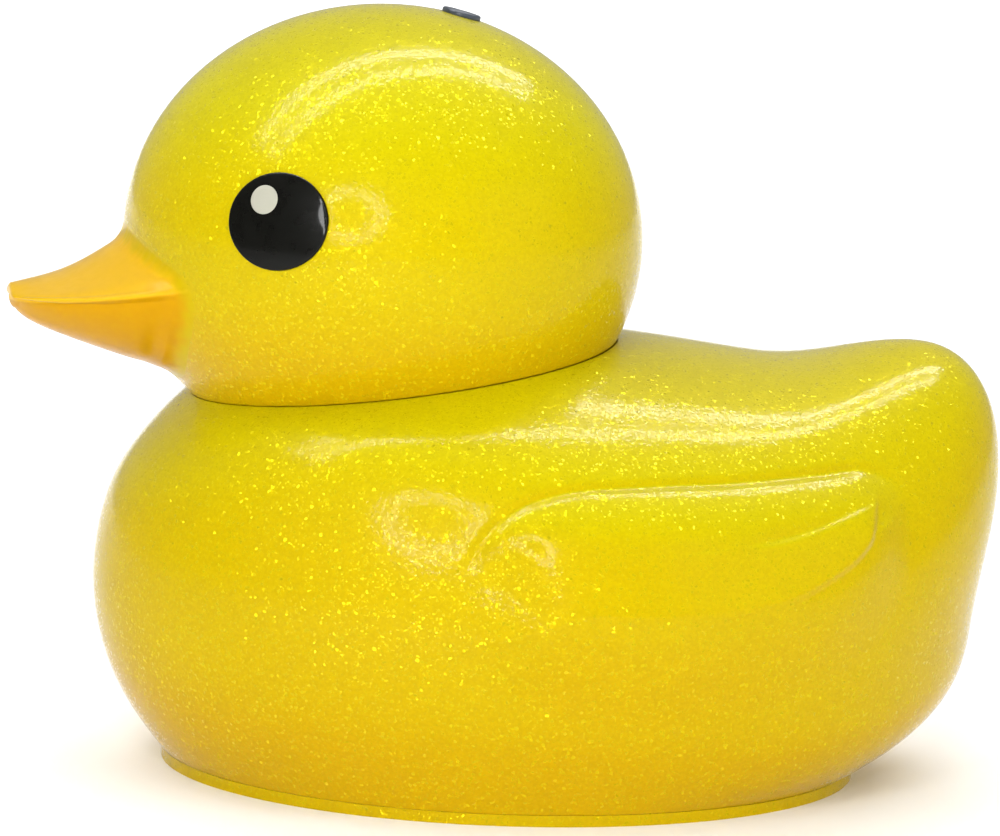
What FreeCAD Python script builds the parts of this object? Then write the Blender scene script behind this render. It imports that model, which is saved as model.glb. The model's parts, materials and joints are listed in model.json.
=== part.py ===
import FreeCAD, Part
import math
import os
import Sketcher

# Floating chlorine dispenser in the shape of a duck: a sealed two-part float with moulded wings, a beak
# and eyes pegged to the head, and a bottom-loading tablet basket with a dosing dial.
# The duck faces -X, +Z is up and z = 0 is the plane that the keel rests on. Lengths are in millimetres.

Vector = FreeCAD.Vector
UP = Vector(0, 0, 1)
FACING = Vector(-1, 0, 0)

doc = FreeCAD.newDocument("DuckDispenser")


# ---------------------------------------------------------------- driving dimensions

DIMENSIONS = [
    ("keel_x", 3.4, "centre of the keel; puts the middle of the whole length at x = 0"),
    ("keel_length", 160.8, "oval keel, nose to tail"),
    ("keel_width", 140.0, "oval keel, side to side"),
    ("keel_rim", 2.6, "height of the rim below the body shell"),
    ("keel_foot", 4.4, "width of the foot that the keel stands on"),
    ("keel_recess", 2.5, "depth of the hollow under the keel"),
    ("plate_top", 5.0, "top face of the base plate"),
    ("spigot_top", 10.0, "top of the wall that the body shell fits over"),
    ("wall", 2.5, "thickness of the moulded shells"),
    ("fit", 0.1, "gap left for the glue at the spigot and the neck"),
    ("head_x", -33.8, "head centre, measured from the keel centre"),
    ("head_z", 122.0, "head centre above the keel"),
    ("head_long", 59.4, "half length of the head"),
    ("head_wide", 56.5, "half width of the head"),
    ("head_tall", 53.2, "half height of the head"),
    ("seam_x", -29.0, "a point on the neck seam, from the keel centre"),
    ("seam_z", 93.0, "height of that point"),
    ("seam_tilt", 9.0, "the seam plane rises towards the tail by this angle"),
    ("neck_rim", 3.2, "width of the body shell's rim at the neck"),
    ("wing_x", 30.0, "centre of a moulded wing, from the keel centre"),
    ("wing_y", 70.0, "centre of that wing's bulge, from the middle plane"),
    ("wing_z", 54.0, "height of that centre"),
    ("wing_long", 52.0, "half length of the bulge"),
    ("wing_deep", 13.2, "half thickness of the bulge"),
    ("wing_tall", 24.0, "half height of the bulge"),
    ("neck_grip", 6.0, "reach of the neck ring into each shell"),
    ("neck_wall", 2.6, "thickness of the neck ring"),
    ("eye_around", 59.3, "angle of an eye's axis from straight ahead"),
    ("eye_lift", 10.7, "upward angle of an eye's axis"),
    ("eye_half_long", 11.8, "half length of the oval eye"),
    ("eye_half_tall", 10.8, "half height of the oval eye"),
    ("eye_sunk", 1.0, "depth of the eye's recess in the head"),
    ("eye_proud", 0.8, "how far the eye stands out of the head"),
    ("glint_radius", 3.2, "pale dot set in the eye"),
    ("glint_forward", 3.4, "the dot's offset towards the beak"),
    ("glint_up", 4.4, "the dot's offset upwards"),
    ("glint_deep", 0.4, "depth of the dot's recess"),
    ("peg_radius", 2.5, "pegs of the eyes and the beak"),
    ("peg_play", 0.05, "gap round a peg in its hole and under the seated beak"),
    ("peg_length", 7.0, "length of a peg inside the head"),
    ("nut_radius", 5.5, "push nuts on the pegs"),
    ("nut_thick", 1.6, "thickness of a push nut"),
    ("beak_peg_half", 13.0, "half distance between the beak's two pegs"),
    ("beak_peg_z", 112.0, "height of the beak's pegs"),
    ("vent_tilt", 14.0, "the vent leans back from upright by this angle"),
    ("vent_radius", 3.0, "bore of the vent bush"),
    ("vent_play", 0.05, "running clearance of the plug in the bush"),
    ("vent_wall", 1.6, "wall of the vent bush"),
    ("vent_flange", 6.0, "radius of the bush's inner flange"),
    ("vent_depth", 11.0, "length of the bush, measured inwards from the crown"),
    ("plug_cap_radius", 4.5, "cap of the vent plug"),
    ("plug_cap_high", 1.4, "height of the cap above its seat"),
    ("basket_bore", 39.3, "inside radius: takes 76 mm (3 inch) tablets with 1 mm to spare"),
    ("basket_wall", 1.8, "wall of the basket"),
    ("basket_foot", 2.2, "lower edge of the basket"),
    ("basket_floor", 7.8, "underside of the basket's floor"),
    ("floor_thick", 2.5, "thickness of the basket's floor"),
    ("basket_top", 64.0, "open top of the basket"),
    ("foot_flange", 43.7, "radius of the two flanges that hold the O-ring"),
    ("foot_flange_thick", 1.4, "thickness of each of those flanges"),
    ("seal_section", 1.48, "section radius of the O-ring"),
    ("seal_gap", 0.04, "gap between the O-ring and each side of its groove"),
    ("lug_reach", 43.5, "radius of the lugs' tips"),
    ("lug_low", 15.2, "underside of a lug at its low end, locked"),
    ("lug_high", 2.6, "height of a lug"),
    ("lug_sweep", 24.0, "angle that a lug covers"),
    ("unlock_turn", 62.0, "turn that frees the basket"),
    ("unlock_drop", 4.0, "drop of the basket during that turn"),
    ("ramp_bore", 41.8, "radius of the ramps' inner edges"),
    ("ramp_high", 2.0, "thickness of a ramp"),
    ("ramp_sweep", 61.0, "angle that a ramp covers"),
    ("ramp_gap", 0.2, "gap between a lug and its ramp"),
    ("lock_bore", 44.15, "bore of the lock ring; the O-ring seals against it"),
    ("lock_radius", 46.3, "outside radius of the lock ring"),
    ("lock_lip_radius", 48.6, "radius of the lip under the base plate"),
    ("lock_lip_low", 1.6, "underside of the lip"),
    ("lock_top", 16.6, "top of the lock ring"),
    ("well_bore", 46.5, "inside radius of the tablet well"),
    ("well_wall", 2.2, "wall of the well"),
    ("well_ceiling", 68.0, "inside of the well's closed top"),
    ("flange_radius", 58.0, "radius of the well's flange"),
    ("flange_thick", 2.0, "thickness of the well's flange"),
    ("gasket_thick", 1.0, "thickness of the gasket"),
    ("ballast_bore", 49.0, "inside radius of the ballast ring"),
    ("ballast_thick", 6.0, "thickness of the ballast ring"),
    ("screw_circle", 53.5, "radius of the circle of screws"),
    ("screw_radius", 1.5, "thread radius of the screws"),
    ("screw_play", 0.1, "clearance of the screws in their holes"),
    ("screw_head_radius", 2.8, "head radius of the screws"),
    ("screw_head_high", 1.6, "head height of the screws"),
    ("dial_radius", 38.8, "radius of the dosing dial"),
    ("dial_low", 5.0, "underside of the dial's disc"),
    ("dial_high", 7.5, "top face of the dial's disc"),
    ("port_inner", 14.0, "inner radius of the dosing ports"),
    ("port_outer", 34.0, "outer radius of the dosing ports"),
    ("port_sweep", 40.0, "angle that a port covers"),
    ("grip_low", 1.0, "underside of the dial's grip"),
    ("grip_length", 62.0, "length of the grip bar"),
    ("grip_width", 6.0, "width of the grip bar"),
    ("hub_radius", 8.0, "radius of the dial's hub"),
    ("pivot_radius", 3.0, "radius of the dial's pivot"),
    ("pivot_play", 0.05, "running clearance of the dial on its pivot"),
    ("pivot_head", 4.8, "head radius of the pivot screw"),
    ("pivot_recess", 2.4, "depth of the recess round the head"),
    ("washer_radius", 6.5, "radius of the washer under the nut"),
    ("washer_thick", 0.8, "thickness of that washer"),
    ("nut_half_flats", 4.8, "half of the pivot nut's width across flats"),
    ("nut_high", 3.0, "height of the pivot nut"),
]
SCREWS = 6
LUGS = 3
PORTS = 4

sheet = doc.addObject("Spreadsheet::Sheet", "Dimensions")
for row, (alias, value, note) in enumerate(DIMENSIONS, start=1):
    sheet.set(f"A{row}", alias)
    sheet.set(f"B{row}", str(value))
    sheet.set(f"C{row}", note)
    sheet.setAlias(f"B{row}", alias)
doc.recompute()


def dim(alias):
    """A driving dimension as a number."""
    return float(sheet.get(alias))


def in_sheet(text):
    """An expression written with bare aliases, turned into one that the document understands."""
    words = text.replace("(", "( ").replace(")", " )").split()
    aliases = {alias for alias, value, note in DIMENSIONS}
    return " ".join(f"Dimensions.{word}" if word in aliases else word for word in words)


def bind(thing, **expressions):
    """Bind properties of an object to the sheet; a double underscore stands for a dot."""
    for name, text in expressions.items():
        thing.setExpression(name.replace("__", "."), in_sheet(text))
    return thing


# ---------------------------------------------------------------- building helpers

def at_keel(thing):
    """Centre a piece on the keel's upright axis."""
    return bind(thing, Placement__Base__x="keel_x")


def combine(kind, name, base, tool):
    """A Part boolean of two objects: kind is Cut, Fuse or Common."""
    result = doc.addObject("Part::" + kind, name)
    result.Base = base
    result.Tool = tool
    result.Label = name
    return result


def fuse_all(name, shapes):
    """One piece, or one group, from several shapes."""
    result = doc.addObject("Part::MultiFuse", name)
    result.Shapes = shapes
    result.Label = name
    return result


def group(name, shapes):
    """Separate solids kept together as one node."""
    result = doc.addObject("Part::Compound", name)
    result.Links = shapes
    result.Label = name
    return result


def cylinder(name, radius, low, high, centred=True):
    """An upright cylinder between two heights."""
    result = doc.addObject("Part::Cylinder", name)
    bind(result, Radius=radius, Height=f"( {high} ) - ( {low} )", Placement__Base__z=low)
    if centred:
        at_keel(result)
    return result


def pie(name, radius, low, high, start, sweep):
    """A slice of a cylinder about the keel's axis, from the angle start; angles in degrees."""
    result = cylinder(name, radius, low, high)
    result.Angle = sweep
    result.Placement.Rotation = FreeCAD.Rotation(UP, start)
    return result


def sector(name, inner, outer, low, high, start, sweep):
    """A slice of a ring about the keel's axis."""
    whole = pie(name + "_slice", outer, low, high, start, sweep)
    core = cylinder(name + "_core", inner, f"( {low} ) - 1", f"( {high} ) + 1")
    return combine("Cut", name, whole, core)


def oval_prism(name, half_long, half_wide, length, placement):
    """An oval prism standing on the local XY plane, long way along local X."""
    oval = doc.addObject("Part::Ellipse", name + "_oval")
    bind(oval, MajorRadius=half_long, MinorRadius=half_wide)
    prism = doc.addObject("Part::Extrusion", name)
    prism.Base = oval
    prism.DirMode = "Custom"
    prism.Dir = UP
    prism.Solid = True
    bind(prism, LengthFwd=length)
    prism.Placement = placement
    return prism


def ellipsoid(name, grow):
    """The head's outer ellipsoid, grown or shrunk all round: grow is written like + wall."""
    result = doc.addObject("Part::Ellipsoid", name)
    return bind(result, Radius1=f"head_tall {grow}", Radius2=f"head_long {grow}",
                Radius3=f"head_wide {grow}", Placement__Base__x="keel_x + head_x",
                Placement__Base__z="head_z")


def rod(name, radius, length, start, direction):
    """A cylinder from a point along a direction."""
    result = doc.addObject("Part::Cylinder", name)
    bind(result, Radius=radius)
    result.Height = length
    result.Placement = FreeCAD.Placement(start, FreeCAD.Rotation(UP, direction))
    return result


def origin_plane(body, role):
    """One of a body's own origin planes."""
    return next(item for item in body.Origin.OriginFeatures if item.Role == role)


def turned(name, outline, axis_offset=True):
    """A PartDesign body turned about its own Z axis.

    The outline is a closed run of (radius, height) corners, each written as an expression.
    """
    body = doc.addObject("PartDesign::Body", name)
    body.Label = name
    sketch = body.newObject("Sketcher::SketchObject", name + "_profile")
    sketch.AttachmentSupport = [(origin_plane(body, "XZ_Plane"), "")]
    sketch.MapMode = "FlatFace"
    count = len(outline)
    start = [Vector(30 + 9 * math.cos(2 * math.pi * k / count), 30 + 9 * math.sin(2 * math.pi * k / count), 0)
             for k in range(count)]
    for k in range(count):
        sketch.addGeometry(Part.LineSegment(start[k], start[(k + 1) % count]), False)
    for k in range(count):
        sketch.addConstraint(Sketcher.Constraint("Coincident", k, 2, (k + 1) % count, 1))
    for k, (radius, height) in enumerate(outline):
        if radius == "0":
            sketch.addConstraint(Sketcher.Constraint("PointOnObject", k, 1, -2))
        else:
            index = sketch.addConstraint(Sketcher.Constraint("DistanceX", -1, 1, k, 1, start[k].x))
            sketch.renameConstraint(index, f"radius_{k}")
            sketch.setExpression(f"Constraints.radius_{k}", in_sheet(radius))
        index = sketch.addConstraint(Sketcher.Constraint("DistanceY", -1, 1, k, 1, start[k].y))
        sketch.renameConstraint(index, f"height_{k}")
        sketch.setExpression(f"Constraints.height_{k}", in_sheet(height))
    revolution = body.newObject("PartDesign::Revolution", name + "_turned")
    revolution.Profile = sketch
    revolution.ReferenceAxis = (sketch, ["V_Axis"])
    revolution.Angle = 360
    body.Tip = revolution
    if axis_offset:
        at_keel(body)
    return body


def ring(name, inner, outer, low, high):
    """A plain turned ring."""
    return turned(name, [(inner, low), (outer, low), (outer, high), (inner, high)])


def table(name, headings, rows):
    """A sheet of profile points; returns the numbers that it holds, row by row."""
    page = doc.addObject("Spreadsheet::Sheet", name)
    columns = "ABCDEFGHIJ"[:len(headings)]
    for column, heading in zip(columns, headings):
        page.set(f"{column}1", heading)
    for row, values in enumerate(rows, start=2):
        for column, value in zip(columns, values):
            page.set(f"{column}{row}", str(value))
    doc.recompute()
    return [[float(page.get(f"{column}{row}")) for column in columns]
            for row in range(2, len(rows) + 2)]


# ---------------------------------------------------------------- free-form surfaces

AROUND = 16
# A cubic curve through a ring of evenly turned poles runs inside them by this factor.
PULL_IN = (2 + math.cos(2 * math.pi / AROUND)) / 3


def tube_surface(rings):
    """A cubic surface, closed around each ring of poles and open at the first and last ring."""
    around = len(rings[0])
    along = len(rings)
    poles = [[ring_poles[k] for ring_poles in rings] for k in range(around)]
    spans = along - 3
    surface = Part.BSplineSurface()
    surface.buildFromPolesMultsKnots(
        poles, [1] * (around + 1), [4] + [1] * (spans - 1) + [4],
        [float(k) for k in range(around + 1)], [float(k) for k in range(spans + 1)],
        True, False, 3, 3)
    return surface


def rim_edge(surface, first):
    """The edge at the first or the last ring of a tube surface."""
    low, high = surface.bounds()[2:]
    return surface.vIso(low if first else high).toShape()


def sewn_solid(faces):
    """A closed solid from faces that share their rims."""
    shell = Part.makeShell(faces)
    shell.sewShape()
    solid = Part.Solid(shell)
    if solid.Volume < 0:
        solid.reverse()
    return solid


def feature(name, shape):
    """A sub-part or tool whose shape is worked out here from the sheets."""
    result = doc.addObject("Part::Feature", name)
    result.Shape = shape
    result.Label = name
    return result


# ---------------------------------------------------------------- head, neck and body shells

SEAM_SLOPE = math.tan(math.radians(dim("seam_tilt")))
HEAD_CENTRE = Vector(dim("keel_x") + dim("head_x"), 0, dim("head_z"))


def seam_height(x):
    """Height of the neck seam's plane over a place along the duck."""
    return dim("seam_z") + SEAM_SLOPE * (x - dim("keel_x") - dim("seam_x"))


def seam_oval():
    """Where the seam's plane cuts the head: front x, rear x and half width."""
    long, wide, tall = dim("head_long"), dim("head_wide"), dim("head_tall")
    drop = seam_height(HEAD_CENTRE.x) - HEAD_CENTRE.z
    square = 1 / long ** 2 + (SEAM_SLOPE / tall) ** 2
    linear = 2 * SEAM_SLOPE * drop / tall ** 2
    root = math.sqrt(linear ** 2 - 4 * square * ((drop / tall) ** 2 - 1))
    front = (-linear - root) / (2 * square)
    rear = (-linear + root) / (2 * square)
    middle = (front + rear) / 2
    height = drop + SEAM_SLOPE * middle
    half_width = wide * math.sqrt(1 - (middle / long) ** 2 - (height / tall) ** 2)
    return HEAD_CENTRE.x + front, HEAD_CENTRE.x + rear, half_width


def body_ring(front, flank, tail, taper, rise):
    """Poles round the body through a front point, two flank points and a tail point.

    front and tail are (x, z) and flank is (x, half width, z). taper narrows the plan towards the tail,
    and rise bends the ring up to the tail point.
    """
    poles = []
    for k in range(AROUND):
        angle = 2 * math.pi * k / AROUND
        ahead = max(math.cos(angle), 0)
        astern = max(-math.cos(angle), 0)
        x = flank[0] + ((front[0] - flank[0]) * ahead + (tail[0] - flank[0]) * astern) / PULL_IN
        y = flank[1] * math.sin(angle) / PULL_IN * (1 - taper * astern ** 2)
        z = flank[2] + (front[1] - flank[2]) * ahead ** 2 + (tail[1] - flank[2]) * astern ** rise
        poles.append(Vector(x, y, z))
    return poles


def seam_ring(inset):
    """Poles round the neck, in the seam's plane, set in from the head's outline."""
    front, rear, half_width = seam_oval()
    middle = (front + rear) / 2
    poles = body_ring((front + inset, 0), (middle, half_width - inset, 0), (rear - inset, 0), 0, 2)
    return [Vector(pole.x, pole.y, seam_height(pole.x)) for pole in poles]


def keel_ring(inset):
    """Poles round the bottom of the body shell, level with the top of the keel's rim."""
    reach = dim("keel_length") / 2 - inset
    half_width = dim("keel_width") / 2 - inset
    x, z = dim("keel_x"), dim("keel_rim")
    return body_ring((x - reach, z), (x, half_width, z), (x + reach, z), 0, 2)


def body_rings():
    """Rings of poles from the neck down to the keel."""
    rows = table("BodyRings", [
        "front reach", "front height", "flank x", "half width", "flank height",
        "tail reach", "tail height", "taper", "rise"], [
        (80.5, 82, -23, 60, 87.5, 40, 100, 0.00, 2),
        (87, 75, -9, 69.5, 80, 63, 95, 0.05, 2.5),
        (94, 65, -1, 75, 69, 81, 102, 0.15, 3),
        (97, 53, 1, 77.6, 56, 100, 105, 0.25, 3),
        (98, 41, 2, 79.2, 44, 112, 91, 0.22, 3),
        (96, 29, 2, 79.2, 31, 113, 67, 0.15, 3),
        (92, 18, 2, 77.3, 19, 106.5, 41, 0.08, 3),
        (86, 9, 1, 73, 10, 106, 17, 0.03, 3)])
    keel = dim("keel_x")
    rings = [seam_ring(0)]
    for ahead, front_z, flank_x, half_width, flank_z, astern, tail_z, taper, rise in rows:
        rings.append(body_ring((keel - ahead, front_z), (keel + flank_x, half_width, flank_z),
                               (keel + astern, tail_z), taper, rise))
    rings.append(keel_ring(0))
    return rings


def lined_rings(surface, rings, share):
    """The same rings moved in by a share of the wall's thickness; the two rims stay in their planes."""
    lined = [seam_ring(dim("neck_rim") * share)]
    for poles in rings[1:-1]:
        middle = sum(poles, Vector()) * (1 / len(poles))
        moved = []
        for pole in poles:
            normal = surface.normal(*surface.parameter(pole))
            if normal.dot(pole - middle) < 0:
                normal = -normal
            moved.append(pole - normal * dim("wall") * share)
        lined.append(moved)
    lined.append(keel_ring(dim("wall") * share))
    return lined


def wing_bulge(name, side, inset):
    """The long bulge of a wing on the body's flank, shrunk all round by an inset."""
    result = doc.addObject("Part::Ellipsoid", name)
    return bind(result, Radius1=f"wing_tall - {inset}", Radius2=f"wing_long - {inset}",
                Radius3=f"wing_deep - {inset}", Placement__Base__x="keel_x + wing_x",
                Placement__Base__y=f"{side} * wing_y", Placement__Base__z="wing_z")


def make_body_shell():
    """The duck's body with its two moulded wings, open at the neck and at the keel."""
    rings = body_rings()
    outside = tube_surface(rings)
    inside = tube_surface(lined_rings(outside, rings, 1))
    faces = [outside.toShape(), inside.toShape()]
    for first in (True, False):
        wires = [Part.Wire([rim_edge(surface, first)]) for surface in (outside, inside)]
        faces.append(Part.makeFace(wires, "Part::FaceMakerBullseye"))
    shell = feature("plain_shell", sewn_solid(faces))
    middle = tube_surface(lined_rings(outside, rings, 0.5))
    ends = [Part.Face(Part.Wire([rim_edge(middle, first)])) for first in (True, False)]
    core = feature("shell_core", sewn_solid([middle.toShape()] + ends))
    sides = (("left", -1), ("right", 1))
    wings = [combine("Cut", f"wing_{name}", wing_bulge(f"wing_outside_{name}", side, "0"), core)
             for name, side in sides]
    hollows = [wing_bulge(f"wing_inside_{name}", side, "wall") for name, side in sides]
    return combine("Cut", "body_shell", fuse_all("winged_shell", [shell] + wings),
                   fuse_all("wing_hollows", hollows))


def make_neck_ring():
    """The oval ring glued inside both shells at the seam."""
    front, rear, half_width = seam_oval()
    middle = Vector((front + rear) / 2, 0, seam_height((front + rear) / 2))
    tilt = FreeCAD.Rotation(Vector(0, 1, 0), -dim("seam_tilt"))
    half_long = (rear - front) / 2 / math.cos(math.radians(dim("seam_tilt")))
    inset = "( neck_rim + fit )"

    def oval(name, extra, reach):
        placement = FreeCAD.Placement(middle - tilt.multVec(UP) * (dim("neck_grip") + reach), tilt)
        return oval_prism(name, f"{half_long} - {inset} - {extra}", f"{half_width} - {inset} - {extra}",
                          f"2 * ( neck_grip + {reach} )", placement)

    return combine("Cut", "neck_ring", oval("neck_outside", "0", 0), oval("neck_inside", "neck_wall", 1))


def peg_frame(side):
    """An eye's place on the head: its point, outward axis, forward tangent and upward tangent."""
    around = math.radians(dim("eye_around"))
    lift = math.radians(dim("eye_lift"))
    axis = Vector(-math.cos(lift) * math.cos(around), side * math.cos(lift) * math.sin(around),
                  math.sin(lift))
    halves = (dim("head_long"), dim("head_wide"), dim("head_tall"))
    reach = Vector(*(half ** 2 * part for half, part in zip(halves, axis)))
    point = HEAD_CENTRE + reach * (1 / math.sqrt(reach.dot(axis)))
    forward = UP.cross(axis).normalize()
    if forward.dot(FACING) < 0:
        forward = -forward
    upward = axis.cross(forward)
    if upward.z < 0:
        upward = -upward
    return point, axis, forward, upward


def vent_frame():
    """The vent's place on the crown: its point and outward axis."""
    tilt = math.radians(dim("vent_tilt"))
    axis = Vector(math.sin(tilt), 0, math.cos(tilt))
    reach = Vector(dim("head_long") ** 2 * axis.x, 0, dim("head_tall") ** 2 * axis.z)
    return HEAD_CENTRE + reach * (1 / math.sqrt(reach.dot(axis))), axis


def beak_peg_points():
    """Where the beak's two pegs pass through the head's outer face."""
    rise = (dim("beak_peg_z") - HEAD_CENTRE.z) / dim("head_tall")
    spread = dim("beak_peg_half") / dim("head_wide")
    x = HEAD_CENTRE.x - dim("head_long") * math.sqrt(1 - rise ** 2 - spread ** 2)
    return [Vector(x, side * dim("beak_peg_half"), dim("beak_peg_z")) for side in (-1, 1)]


def eye_oval(name, side, extra):
    """An oval prism through the head's wall at an eye."""
    point, axis, forward, upward = peg_frame(side)
    depth = 7
    placement = FreeCAD.Placement(point - axis * depth,
                                  FreeCAD.Rotation(forward, axis.cross(forward), axis, "ZXY"))
    return oval_prism(name, f"eye_half_long {extra}", f"eye_half_tall {extra}", f"2 * {depth}", placement)


def make_eye(side_name, side):
    """A glossy eye set in the head, with a peg behind it, and the pale dot set in the eye."""
    point, axis, forward, upward = peg_frame(side)
    eye = "eye_" + side_name
    blank = combine("Common", eye + "_domed", eye_oval(eye + "_blank", side, ""),
                    ellipsoid(eye + "_front", "+ eye_proud"))
    disc = combine("Cut", eye + "_disc", blank, ellipsoid(eye + "_back", "- eye_sunk"))
    depth = dim("wall") + dim("peg_length")
    peg = rod(eye + "_peg", "peg_radius", depth - dim("eye_sunk") / 2, point - axis * depth, axis)
    whole = fuse_all(eye + "_pegged", [disc, peg])
    spot = point + forward * dim("glint_forward") + upward * dim("glint_up")
    dot = rod(eye + "_dot", "glint_radius", 8, spot - axis * 4, axis)
    floor = ellipsoid(eye + "_dot_floor", "+ eye_proud - glint_deep")
    pocket = combine("Cut", eye + "_dot_pocket", dot, floor)
    glint = combine("Common", "eye_glint_" + side_name, pocket,
                    ellipsoid(eye + "_dot_front", "+ eye_proud"))
    return combine("Cut", eye, whole, pocket), glint


def push_nut(name, point, axis, depth):
    """A push nut on a peg, seated against the head's inner face."""
    blank = rod(name + "_blank", "nut_radius", depth, point - axis * depth, axis)
    seated = combine("Common", name + "_seated", blank, ellipsoid(name + "_seat", "- wall"))
    bore = rod(name + "_bore", "peg_radius + peg_play", 2 * depth, point - axis * 1.5 * depth, axis)
    return combine("Cut", name, seated, bore)


def make_push_nuts():
    """The eyes' pair and the beak's pair of push nuts."""
    depth = dim("wall") + dim("nut_thick")
    eyes = [push_nut(f"eye_nut_{side_name}", *peg_frame(side)[:2], depth + 0.4)
            for side_name, side in (("left", -1), ("right", 1))]
    beak = [push_nut(f"beak_nut_{k}", point, FACING, depth + 1.6)
            for k, point in enumerate(beak_peg_points())]
    return group("eye_push_nuts", eyes), group("beak_push_nuts", beak)


def make_head_shell():
    """The hollow head, cut off at the neck seam, with recesses and holes for what is set in it."""
    hollow = combine("Cut", "head_hollow", ellipsoid("head_outside", ""), ellipsoid("head_inside", "- wall"))
    keep = doc.addObject("Part::Box", "above_the_seam")
    size = 4 * dim("head_long")
    keep.Length = size
    keep.Width = size
    keep.Height = size
    tilt = FreeCAD.Rotation(Vector(0, 1, 0), -dim("seam_tilt"))
    corner = tilt.multVec(Vector(-size / 2, -size / 2, 0))
    keep.Placement = FreeCAD.Placement(
        Vector(HEAD_CENTRE.x, 0, seam_height(HEAD_CENTRE.x)) + corner, tilt)
    capped = combine("Common", "head_cut_at_seam", hollow, keep)
    tools = []
    for side_name, side in (("left", -1), ("right", 1)):
        point, axis, forward, upward = peg_frame(side)
        recess = eye_oval(f"recess_{side_name}_blank", side, "+ fit")
        tools.append(combine("Cut", f"recess_{side_name}", recess,
                             ellipsoid(f"recess_{side_name}_floor", "- eye_sunk")))
        tools.append(rod(f"eye_hole_{side_name}", "peg_radius + peg_play", 12, point - axis * 6, axis))
    for k, point in enumerate(beak_peg_points()):
        tools.append(rod(f"beak_hole_{k}", "peg_radius + peg_play", 16, point - FACING * 8, FACING))
    point, axis = vent_frame()
    tools.append(rod("vent_hole", "vent_radius + vent_wall + peg_play", 12, point - axis * 6, axis))
    return combine("Cut", "head_shell", capped, fuse_all("head_tools", tools))


def make_beak():
    """The bill: a flat, upturned wedge with a lip line, seated on the face by two pegs."""
    rows = table("BeakRings", ["reach", "top", "lip", "bottom", "half width"], [
        (65, 130, 116, 88, 34),
        (85, 128, 113.5, 90, 31),
        (96, 119.5, 111.2, 93.5, 28),
        (106, 112.8, 109.6, 97, 22),
        (114, 110.8, 108.6, 100, 16),
        (117.7, 110.2, 108, 102.5, 10.5),
        (119.2, 109.9, 107.6, 105, 6.5)])
    rings = []
    for reach, top, lip, bottom, half_width in rows:
        above, below = top - lip, lip - bottom
        side = [(0, top), (0.35, lip + 0.80 * above), (0.75, lip + 0.30 * above), (1.03, lip),
                (0.92, lip - 0.40 * below), (0.5, bottom + 0.10 * below), (0, bottom)]
        outline = side + [(-y, z) for y, z in side[-2:0:-1]]
        x = dim("keel_x") - reach
        rings.append([Vector(x, y * half_width, z) for y, z in outline])
    surface = tube_surface(rings)
    ends = [Part.Face(Part.Wire([rim_edge(surface, first)])) for first in (True, False)]
    blank = feature("beak_blank", sewn_solid([surface.toShape()] + ends))
    seated = combine("Cut", "beak_seated", blank, ellipsoid("beak_seat", "+ peg_play"))
    depth = dim("wall") + dim("peg_length")
    pegs = [rod(f"beak_peg_{k}", "peg_radius", depth + 5, point - FACING * depth, FACING)
            for k, point in enumerate(beak_peg_points())]
    return fuse_all("beak", [seated] + pegs)


# ---------------------------------------------------------------- vent

def make_vent():
    """The bush fixed in the crown and the plug that pulls out of it."""
    point, axis = vent_frame()
    placement = FreeCAD.Placement(point, FreeCAD.Rotation(UP, axis))
    bush_radius = "vent_radius + vent_wall"
    bush = turned("vent_bush", [
        ("vent_radius", "0 - vent_depth"), (bush_radius, "0 - vent_depth"),
        (bush_radius, "0 - wall - 2"), ("vent_flange", "0 - wall - 2"),
        ("vent_flange", "0 - wall - 0.5"), (bush_radius, "0 - wall - 0.5"),
        (bush_radius, "0 - 0.4"), ("vent_radius", "0 - 0.4")], axis_offset=False)
    stem = "vent_radius - vent_play"
    plug = turned("crown_vent_plug", [
        ("0", "1 - vent_depth"), (f"{stem} - 0.6", "1 - vent_depth"), (stem, "1.6 - vent_depth"),
        (stem, "0 - 0.3"), ("plug_cap_radius", "0 - 0.3"), ("plug_cap_radius", "plug_cap_high - 0.9"),
        ("plug_cap_radius - 0.7", "plug_cap_high - 0.3"), ("0", "plug_cap_high - 0.3")],
        axis_offset=False)
    for piece in (bush, plug):
        piece.Placement = placement
    return bush, plug


# ---------------------------------------------------------------- base, well and ballast

def keel_oval(name, inset, low, high):
    """An oval prism with the keel's outline, set in by an amount, between two heights."""
    prism = oval_prism(name, f"keel_length / 2 - ( {inset} )", f"keel_width / 2 - ( {inset} )",
                       f"( {high} ) - ( {low} )", FreeCAD.Placement())
    return bind(prism, Placement__Base__x="keel_x", Placement__Base__z=low)


def screw_places():
    """The screws' angles round the keel's axis."""
    return [360 / SCREWS * k + 180 / SCREWS for k in range(SCREWS)]


def round_the_keel(name, angle, radius, low, high):
    """A small upright cylinder on the circle of screws."""
    pin = cylinder(name, radius, low, high, centred=False)
    turn = math.radians(angle)
    return bind(pin, Placement__Base__x=f"keel_x + screw_circle * {math.cos(turn):.6f}",
                Placement__Base__y=f"screw_circle * {math.sin(turn):.6f}")


def screw_holes(name, low, high):
    """Clearance holes for all the screws, as one tool."""
    return fuse_all(name, [round_the_keel(f"{name}_{k}", angle, "screw_radius + screw_play", low, high)
                           for k, angle in enumerate(screw_places())])


GASKET_TOP = "plate_top + gasket_thick"
FLANGE_TOP = "plate_top + gasket_thick + flange_thick"
BALLAST_TOP = "plate_top + gasket_thick + flange_thick + ballast_thick"
SCREW_TIP = "plate_top + gasket_thick + flange_thick + ballast_thick - 2"


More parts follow.
